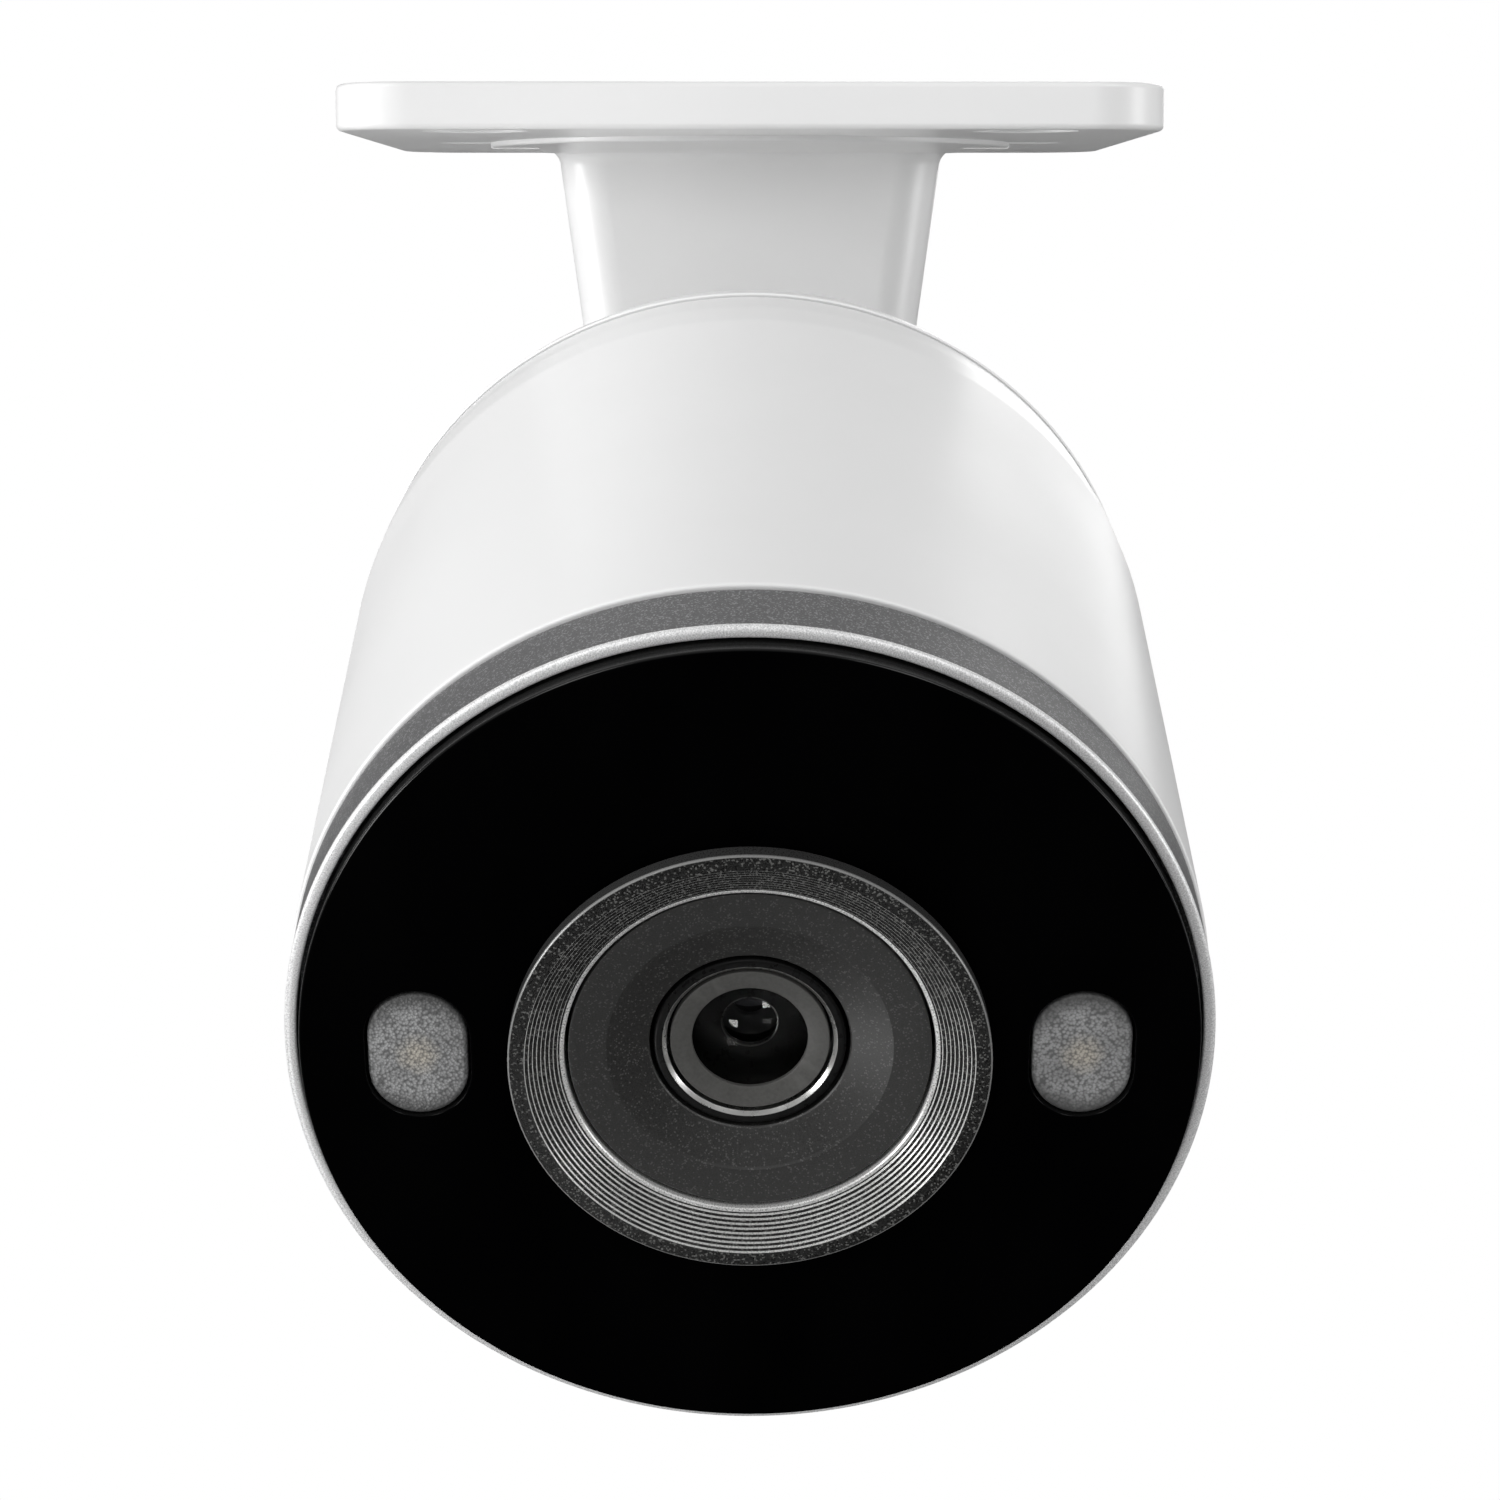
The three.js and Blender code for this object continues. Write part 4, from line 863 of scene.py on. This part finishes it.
def makeWindow():
    form = {"edge": 0.35, "holeEdge": 0.2, "lampGap": 0.22}
    front, back = -window["front"], -window["back"]
    outer = circleOutline(0, 0, window["outer"], 180)
    loops = [grownStations(outer, front, back, form["edge"], 5)]
    holes = [circleOutline(0, 0, window["inner"], 96), lampOutline(form["lampGap"], lampOffset),
             lampOutline(form["lampGap"], -lampOffset)]
    loops += [grownStations(hole, front, back, form["holeEdge"], 3, 1) for hole in holes]
    mesh = walledMesh("windowPane", loops, faceTurn)
    placed("windowPane", mesh, bodyPlace, "black_window", "camera", ["front_window"])


def makeDiffusers():
    form = {"sink": 0.1, "edge": 0.35}
    for side, x in (("left", -lampOffset), ("right", lampOffset)):
        top = -window["front"] - form["sink"]
        mesh = prismMesh("diffuser_" + side, lampOutline(), -window["back"], top, form["edge"], faceTurn)
        place = bodyPlace @ Matrix.Translation((x * mm, 0, 0))
        placed("diffuser_" + side, mesh, place, "frosted_diffuser", "camera", ["lamp_diffuser_" + side])


def makeTrimRing():
    # a flat rim, then fine stairs going down to a bright inner lip
    front = trim["front"]
    foot = window["front"] - 0.3
    inner = trim["inner"]
    depth = dish["front"] - 0.4 - front
    run = (stairHead - stairFoot) / trimForm["stairs"]
    drop = depth / (trimForm["stairs"] + 1)
    corners = [(trim["outer"], foot, 0.1), (trim["outer"], front, trimForm["edge"])]
    for stair in range(trimForm["stairs"] + 1):
        radius = stairHead - stair * run
        corners.append((radius, front + stair * drop, trimForm["stairEdge"]))
        corners.append((radius, front + (stair + 1) * drop, trimForm["stairEdge"]))
    sleeve = inner + 1.4
    corners += [(inner, front + depth, trimForm["lipEdge"]), (inner, trim["back"], 0.1),
                (sleeve, trim["back"], 0.1), (sleeve, foot)]
    turned("stairRing", filleted(corners, steps=3), "dark_trim", "lens_trim_ring", "trimCoat", 180)


def makeDish():
    # a nearly flat outer ring, then a steeper cone down to the barrel
    form = {"step": 10.9, "stepDrop": 0.1, "outerShare": 0.22, "thickness": 0.9}
    drop = barrel["front"] - dish["front"]
    stepDepth = dish["front"] + form["outerShare"] * drop
    profile = filleted([
        (dish["outer"], dish["front"], 0.1),
        (form["step"] + 0.2, stepDepth - form["stepDrop"] / 2, 0.12),
        (form["step"], stepDepth + form["stepDrop"] / 2, 0.12),
        (dish["inner"] + 0.1, barrel["front"] - 0.05, 0.1),
        (dish["inner"], barrel["front"] + 0.1, 0.05),
        (dish["inner"], dish["back"]),
        (dish["inner"] + 1.2, dish["back"]),
        (dish["inner"] + 1.2, barrel["front"] + form["thickness"]),
        (dish["outer"], dish["front"] + 2 * form["thickness"]),
    ])
    turned("lensDish", profile, "dark_trim", "lens_baffle")


makeWindow()
makeDiffusers()
makeTrimRing()
makeDish()
print("window, lamps and trim made")

# lens

retainer = span("lens_retainer_ring")
iris = span("lens_iris")
innerGlass = span("lens_inner_glass")
rearGlass = span("lens_rear_glass")


def makeBarrel():
    # a tube with a thread behind its shoulder and a small stop behind the inner glass
    form = {"wall": 1.0, "rim": 0.3, "shoulder": 9.0, "neck": 6.0, "threads": 9, "root": 0.25, "passage": 2.8,
            "stop": 1.2, "stopDepth": 0.4, "stopThick": 0.4, "chamfer": 0.28, "glassGap": 0.3}
    bore = barrel["outer"] - form["wall"]
    gap = form["glassGap"]
    floor = innerGlass["back"] + gap
    stopFront = floor + form["stopDepth"]
    stopBack = stopFront + form["stopThick"]
    root = form["neck"] - form["root"]
    corners = [(barrel["outer"], barrel["front"], form["rim"]), (barrel["outer"], form["shoulder"], 0.2)]
    pitch = (barrel["back"] - form["shoulder"]) / form["threads"]
    for turn in range(form["threads"]):
        depth = form["shoulder"] + turn * pitch
        corners += [(root, depth), (form["neck"], depth + pitch / 2)]
    corners += [
        (root, barrel["back"]),
        (rearGlass["outer"] + gap, barrel["back"]), (rearGlass["outer"] + gap, rearGlass["front"] - gap),
        (form["passage"], rearGlass["front"] - gap), (form["passage"], stopBack),
        (form["stop"], stopBack, 0.05), (form["stop"], stopFront, 0.1),
        (form["passage"], stopFront), (form["passage"], floor),
        (bore, floor), (bore, barrel["front"] + form["chamfer"]),
        (bore + form["chamfer"], barrel["front"], 0.03),
    ]
    turned("lensTube", filleted(corners, steps=5), "black_plastic", "lens_barrel", "barrelBlack", 128)


def makeRetainer():
    # a conical ring
    form = {"edge": 0.12, "cone": 0.35}
    profile = filleted([
        (retainer["outer"], retainer["front"], form["edge"]),
        (retainer["inner"], retainer["front"] + form["cone"], form["edge"]),
        (retainer["inner"], retainer["back"]),
        (retainer["outer"], retainer["back"]),
    ], steps=3)
    turned("keeperRing", profile, "steel", "lens_retainer_ring", "ringMetal", 128)


def domeProfile(size, rise, steps=12):
    radius = size["outer"] - 0.02
    sphere = (radius ** 2 + rise ** 2) / (2 * rise)
    half = math.degrees(math.asin(radius / sphere))
    points = []
    for step in range(steps + 1):
        angle = math.radians(half * step / steps)
        points.append((sphere * math.sin(angle), size["front"] + sphere * (1 - math.cos(angle))))
    return points + [(radius, size["back"]), (0, size["back"])]


def makeGlasses():
    for name, node, rise, finishName in (
        ("frontElement", "lens_front_glass", 0.9, "frontGlass"),
        ("innerElement", "lens_inner_glass", 0.6, "lens_glass"),
        ("rearElement", "lens_rear_glass", 0.5, "lens_glass"),
    ):
        turned(name, domeProfile(span(node), rise), "lens_glass", node, finishName, 96, False)


def makeIris():
    profile = filleted([
        (iris["inner"], iris["front"], 0.08), (iris["outer"], iris["front"]),
        (iris["outer"], iris["back"]), (iris["inner"], iris["back"], 0.08),
    ], steps=2)
    turned("irisDisc", profile, "black_plastic", "lens_iris", "irisBlack", 96)


makeBarrel()
makeRetainer()
makeGlasses()
makeIris()
print("lens made")

# bracket

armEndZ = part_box("mount_bracket")[0].z / mm


def makeBracket():
    form = {"plate": 75, "thickness": 4.2, "corner": 7, "edge": 0.55, "bossRadius": 26, "bossHeight": 0.5,
            "bossY": 5, "screwX": 24.9, "screwInset": 6, "screwRadius": 2.2, "headRadius": 4.8, "headDepth": 2,
            "slotX": 26, "slotY": 3, "slotLength": 10, "slotWidth": 3.8, "rootWidth": 40, "rootDepth": 16,
            "rootY": 27.5, "endWidth": 35, "endDepth": 13.4, "armCorner": 5, "fillet": 1.8, "armEdge": 0.8,
            "boreRadius": 3.9, "boltRadius": 2.3, "boreDepth": 13.4, "hubRadius": 4.7, "hubDepth": 5.8}
    panY = panPivot.y / mm
    armEnd = armEndZ
    plateBottom = -form["thickness"]

    def armOutline(height, extra):
        t = (plateBottom - height) / (plateBottom - armEnd)
        width = form["rootWidth"] + (form["endWidth"] - form["rootWidth"]) * t + 2 * extra
        depth = form["rootDepth"] + (form["endDepth"] - form["rootDepth"]) * t + 2 * extra
        middle = form["rootY"] + (panY - form["rootY"]) * t
        return roundedOutline(width, depth, form["armCorner"] + extra, middle, 10)

    plate = roundedOutline(form["plate"], form["plate"], form["corner"], 0, 12)
    loops = [grownStations(plate, 0, plateBottom, form["edge"], 5)]
    slots = []
    screw, head = form["screwRadius"], form["headRadius"]
    shelf = plateBottom + form["headDepth"]
    for side in (-1, 1):
        x, y = side * form["screwX"], form["screwInset"] - form["plate"] / 2
        steps = [(screw + 0.15, 0), (screw, -0.15), (screw, shelf + 0.1), (screw + 0.1, shelf), (head, shelf),
                 (head, plateBottom + 0.2), (head + 0.06, plateBottom + 0.06), (head + 0.2, plateBottom)]
        loops.append([(circleOutline(x, y, radius), height) for radius, height in steps])
        slot = roundedOutline(form["slotLength"], form["slotWidth"], form["slotWidth"] / 2 - 0.01,
                              form["slotY"], 8, side * form["slotX"])
        loops.append(grownStations(slot, 0, plateBottom, 0.2, 2, 1))
        slots.append(slot)
    wide, bolt, hub = form["boreRadius"], form["boltRadius"], form["hubRadius"]
    hubTop = armEnd + form["hubDepth"]
    bore = [(wide + 0.2, 0), (wide, -0.2), (wide, -form["boreDepth"]), (bolt, -form["boreDepth"]),
            (bolt, hubTop), (hub, hubTop), (hub, armEnd + 0.2), (hub + 0.2, armEnd)]
    boreLoop = [(circleOutline(0, panY, radius), height) for radius, height in bore]
    arm = []
    for step in range(8):
        angle = math.pi / 2 * step / 7
        arm.append((armOutline(plateBottom, form["fillet"] * (1 - math.sin(angle))),
                    plateBottom - form["fillet"] * (1 - math.cos(angle))))
    for step in range(7):
        angle = math.pi / 2 * step / 6
        height = armEnd + form["armEdge"] * (1 - math.sin(angle))
        arm.append((armOutline(height, -form["armEdge"] * (1 - math.cos(angle))), height))
    mesh = bracketMesh(loops, boreLoop, arm)
    boss = latheMesh("boss", filleted([
        (0, 0), (form["bossRadius"], 0), (form["bossRadius"], form["bossHeight"] + 0.3, 0.25),
        (0, form["bossHeight"] + 0.3),
    ], False), 128, False)
    boss.transform(Matrix.Translation((0, form["bossY"] * mm, (plateBottom + 0.3) * mm)) @ turnAbout("X", -90))
    boss = carved(boss, [prismMesh("slotTool", slot, -8, 1) for slot in slots])
    mesh = joined("ceilingBracket", [mesh, boss])
    placed("ceilingBracket", mesh, Matrix.Identity(4), "white_enamel", "bracket", ["mount_bracket"])


def bracketMesh(loops, boreLoop, arm):
    # one skin: plate top, rims and holes, plate underside, arm, arm end, and the bore right through
    build = bmesh.new()
    walls = [wallRings(build, stations) for stations in loops]
    boreRings = wallRings(build, boreLoop)
    armRings = wallRings(build, arm)
    fillBetween(build, boreRings[0], *(wall[0] for wall in walls))
    fillBetween(build, armRings[0], *(wall[-1] for wall in walls))
    fillBetween(build, armRings[-1], boreRings[-1])
    bmesh.ops.recalc_face_normals(build, faces=build.faces)
    return meshFrom(build, "bracketSkin")


makeBracket()
print("bracket made")

# pan swivel, tilt knuckle and roll collar

yokeLow, yokeHigh = (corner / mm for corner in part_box("swivel_yoke"))
headLow, headHigh = (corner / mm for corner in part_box("pan_bolt"))
tiltHeadLow, tiltHeadHigh = (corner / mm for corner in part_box("tilt_bolt"))
swivelPlace = Matrix.Translation((panPivot.x, panPivot.y, 0))
sideTurn = turnAbout("Z") @ turnAbout("X")
upright = turnAbout("X")  # stands a lathe's axis up
acrossTurn = turnAbout("Z", -90)  # lays a lathe's axis along X


def makeYoke():
    form = {"bar": 3.2, "inside": 5.6, "eye": 6.5, "corner": 1.6, "insideCorner": 1.2, "edge": 0.35,
            "hubRadius": 4.4, "boltHole": 2.3, "headPocket": 3.8, "headDepth": 2.7, "nutAcross": 7.6,
            "nutDepth": 3.5}
    half = yokeHigh.x
    eyeZ = tiltPivot.z / mm
    top = armEndZ - 0.3
    barBottom = top - form["bar"]
    bottom = yokeLow.z
    front = []
    for x, z, corner in ((half, top, form["corner"]), (-half, top, form["corner"]), (-half, bottom - 3, 0),
                         (-form["inside"], bottom - 3, 0), (-form["inside"], barBottom, form["insideCorner"]),
                         (form["inside"], barBottom, form["insideCorner"]), (form["inside"], bottom - 3, 0),
                         (half, bottom - 3, 0)):
        front.append((x, z, corner) if corner else (x, z))
    outline = [tuple(point) for point in filleted(front, steps=6)]
    arch = prismMesh("yokeArch", outline, -form["eye"] - 1, form["eye"] + 1, turn=faceTurn)
    side = [(form["eye"], top + 1 - eyeZ), (-form["eye"], top + 1 - eyeZ)]
    side += arcPoints(0, form["eye"], 180, 360, 28)
    flank = prismMesh("yokeFlank", side, -half - 1, half + 1, turn=sideTurn)
    flank.transform(Matrix.Translation((0, 0, eyeZ * mm)))
    body = carved(arch, [flank], "INTERSECT")
    hub = rodMesh("hub", form["hubRadius"], 0, yokeHigh.z - top + 0.5, 48)
    hub.transform(Matrix.Translation((0, 0, (top - 0.5) * mm)) @ upright)
    body = carved(body, [hub], "UNION")
    boltHole = rodMesh("boltHole", form["boltHole"], 0, 14, 40)
    boltHole.transform(Matrix.Translation((0, 0, (barBottom - 2) * mm)) @ upright)
    tools = [boltHole]
    for name, radius, low, high, sides in (
        ("across", form["boltHole"], -half - 2, half + 2, 40),
        ("headPocket", form["headPocket"], -half - 2, form["headDepth"] - half, 48),
        ("nutPocket", form["nutAcross"] / math.sqrt(3), half - form["nutDepth"], half + 2, 6),
    ):
        tool = rodMesh(name, radius, low, high, sides)
        tool.transform(Matrix.Translation((0, 0, eyeZ * mm)) @ acrossTurn)
        tools.append(tool)
    body = carved(body, tools)
    body = softened(body, form["edge"])
    placed("swivelFork", body, swivelPlace, "white_enamel", "swivel", ["swivel_yoke"])


def socketBolt(name, headRadius, headHeight, shankRadius, length, socket=2.5, threadFrom=0.45, pitch=0.7):
    # the head stands above depth 0 and the threaded shank runs below it
    corners = [(0, headHeight), (headRadius, headHeight, 0.35), (headRadius, 0, 0.15), (shankRadius, 0, 0.1),
               (shankRadius, -length * threadFrom)]
    depth = length * threadFrom
    while depth + pitch < length - 0.5:
        corners += [(shankRadius - 0.32, -depth - pitch / 2), (shankRadius, -depth - pitch)]
        depth += pitch
    corners += [(shankRadius - 0.3, -length), (0, -length)]
    body = latheMesh(name, filleted(corners, False, 3), 48, False)
    return carved(body, [rodMesh("hexagon", socket / math.sqrt(3), headHeight - 1.4, headHeight + 1, 6)])


def makeBolts():
    form = {"head": 3.5, "headHeight": 2.4, "shank": 2.0, "nutAcross": 7.0, "nutHeight": 3.2, "nutBore": 2.25}
    panMesh = socketBolt("panBolt", form["head"], form["headHeight"], form["shank"],
                         headHigh.z - form["headHeight"] - headLow.z)
    place = Matrix.Translation((panPivot.x, panPivot.y, (headHigh.z - form["headHeight"]) * mm)) @ upright
    placed("panBolt", panMesh, place, "steel", "swivel", ["pan_bolt"])
    tiltMesh = socketBolt("tiltBolt", form["head"], form["headHeight"], form["shank"],
                          tiltHeadHigh.x - tiltHeadLow.x - form["headHeight"])
    headFoot = (tiltHeadLow.x + form["headHeight"]) * mm
    place = Matrix.Translation((headFoot, tiltPivot.y, tiltPivot.z)) @ acrossTurn
    placed("tiltBolt", tiltMesh, place @ turnAbout("Z", 180), "steel", "swivel", ["tilt_bolt"])
    radius = form["nutAcross"] / math.sqrt(3)
    chamfer = latheMesh("chamfer", filleted([
        (0, 0), (radius - 0.45, 0), (radius, 0.35), (radius, form["nutHeight"] - 0.35),
        (radius - 0.45, form["nutHeight"]), (0, form["nutHeight"]),
    ], False), 48, False)
    nut = carved(chamfer, [rodMesh("nutHexagon", radius, -1, 5, 6)], "INTERSECT")
    nut = carved(nut, [rodMesh("nutBore", form["nutBore"], -1, 5, 40)])
    place = Matrix.Translation((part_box("tilt_nut")[0].x, tiltPivot.y, tiltPivot.z)) @ acrossTurn
    placed("tiltNut", nut, place, "steel", "swivel", ["tilt_nut"])


def makeWashers(thick=0.6):
    # turned washers: the two on the tilt bolt lie across, the two on the pan bolt lie flat
    for name, node, lies, inner, outer, slotName, rides in (
        ("tiltWasherLeft", "tilt_washer_left", "across", 2.3, 6, "nylon", "swivel"),
        ("tiltWasherRight", "tilt_washer_right", "across", 2.3, 6, "nylon", "swivel"),
        ("panGlideWasher", "pan_friction_washer", "flat", 2.3, 4.4, "nylon", "bracket"),
        ("panSpringWasher", "pan_spring_washer", "flat", 2.3, 3.5, "steel", "bracket"),
    ):
        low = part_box(node)[0]
        mesh = latheMesh(name, filleted([
            (inner, 0, 0.1), (outer, 0, 0.15), (outer, thick, 0.15), (inner, thick, 0.1),
        ], steps=3), 64)
        place = Matrix.Translation((panPivot.x, panPivot.y, low.z)) @ upright
        if lies == "across":
            place = Matrix.Translation((low.x, tiltPivot.y, tiltPivot.z)) @ acrossTurn
        placed(name, mesh, place, slotName, rides, [node])


def makeKnuckle():
    form = {"eyeRadius": 6, "eyeWidth": 8.8, "stub": 5, "flange": 8, "edge": 0.3, "hole": 2.3}
    tiltDepth = -faceDistance / mm
    stem = latheMesh("stem", filleted([
        (0, flange["front"]), (form["flange"], flange["front"], 0.2),
        (form["flange"], flange["front"] + 3, 0.3), (form["stub"], flange["front"] + 3, 0.25),
        (form["stub"], tiltDepth), (0, tiltDepth),
    ], False), 96, False)
    toEye = Matrix.Translation((0, tiltDepth * mm, 0)) @ acrossTurn
    eye = rodMesh("eye", form["eyeRadius"], -form["eyeWidth"] / 2, form["eyeWidth"] / 2, 64)
    eye.transform(toEye)
    body = carved(stem, [eye], "UNION")
    trims = []
    for side in (-1, 1):
        low = side * form["eyeWidth"] / 2
        high = side * 12
        outline = roundedOutline(abs(high - low), 2 * (form["eyeRadius"] + 1.5), 0.9, tiltDepth, 6,
                                 (low + high) / 2)
        trims.append(prismMesh("trim", outline, -9, 9))
    hole = rodMesh("knuckleHole", form["hole"], -8, 8, 40)
    hole.transform(toEye)
    body = softened(carved(body, [*trims, hole]), form["edge"])
    placed("tiltKnuckle", body, bodyPlace, "white_enamel", "knuckle", ["tilt_knuckle"])


def makeLockRing():
    form = {"outer": 11.8, "collar": 10.3, "flange": 8, "stub": 5.3, "lip": 2.1, "flutes": 12,
            "fluteDepth": 0.8, "edge": 0.6}
    start, end = lockRing["front"], lockRing["back"]
    flangeBack = flange["front"] + 3

    def fluted(radius, depth, angle):
        if radius < form["collar"] + 0.35:
            return radius
        wave = max(0.0, math.cos(form["flutes"] * angle)) ** 1.5
        inset = min(1.0, (radius - form["collar"] - 0.35) / 0.6)
        return radius - form["fluteDepth"] * wave * inset

    profile = filleted([
        (form["stub"], flangeBack + 0.3), (form["flange"], flangeBack + 0.3),
        (form["flange"], end - form["lip"]), (form["collar"], end - form["lip"]),
        (form["collar"], start, 0.1), (form["outer"], start, 0.25),
        (form["outer"], start + 1.6), (form["outer"], start + 3.2), (form["outer"], end, form["edge"]),
        (form["stub"], end, 0.15),
    ])
    turned("rollLockRing", profile, "white_enamel", "roll_lock_ring", sides=192, shape=fluted)
    washer = filleted([
        (5, rollWasher["front"], 0.1), (8, rollWasher["front"], 0.15),
        (8, rollWasher["back"], 0.15), (5, rollWasher["back"], 0.1),
    ], steps=2)
    turned("rollWasher", washer, "nylon", "roll_friction_washer", sides=96)


def makeGland():
    # a ribbed rubber bush with a short strain relief sleeve, open for the cable
    form = {"offset": -18, "bore": 2.6, "body": 4, "head": 5.6, "headLength": 1.6, "tail": 3.4, "ribs": 5,
            "tailLength": 7, "ribDepth": 0.4}
    headEnd = gland["back"] - form["tailLength"]
    headStart = headEnd - form["headLength"]
    corners = [(form["bore"], gland["front"], 0.15), (form["body"], gland["front"], 0.3),
               (form["body"], headStart), (form["head"], headStart, 0.2), (form["head"], headEnd, 0.5),
               (form["body"] + 0.1, headEnd + 0.5, 0.2)]
    ribPitch = (gland["back"] - headEnd - 1.2) / form["ribs"]
    for rib in range(form["ribs"]):
        depth = headEnd + 0.8 + rib * ribPitch
        radius = form["body"] - (form["body"] - form["tail"]) * (rib + 1) / form["ribs"]
        root = radius - form["ribDepth"]
        corners += [(root, depth + 0.15, 0.1), (root, depth + 0.35 * ribPitch, 0.1),
                    (radius, depth + 0.45 * ribPitch, 0.12), (radius, depth + 0.95 * ribPitch, 0.12)]
    corners += [(form["tail"], gland["back"], 0.2), (form["bore"], gland["back"], 0.25)]
    turned("cableBush", filleted(corners, steps=3), "rubber", "cable_gland", sides=64,
           centre=(0, form["offset"]))


makeYoke()
makeBolts()
makeWashers()
makeKnuckle()
makeLockRing()
makeGland()
print("swivel, knuckle and gland made")
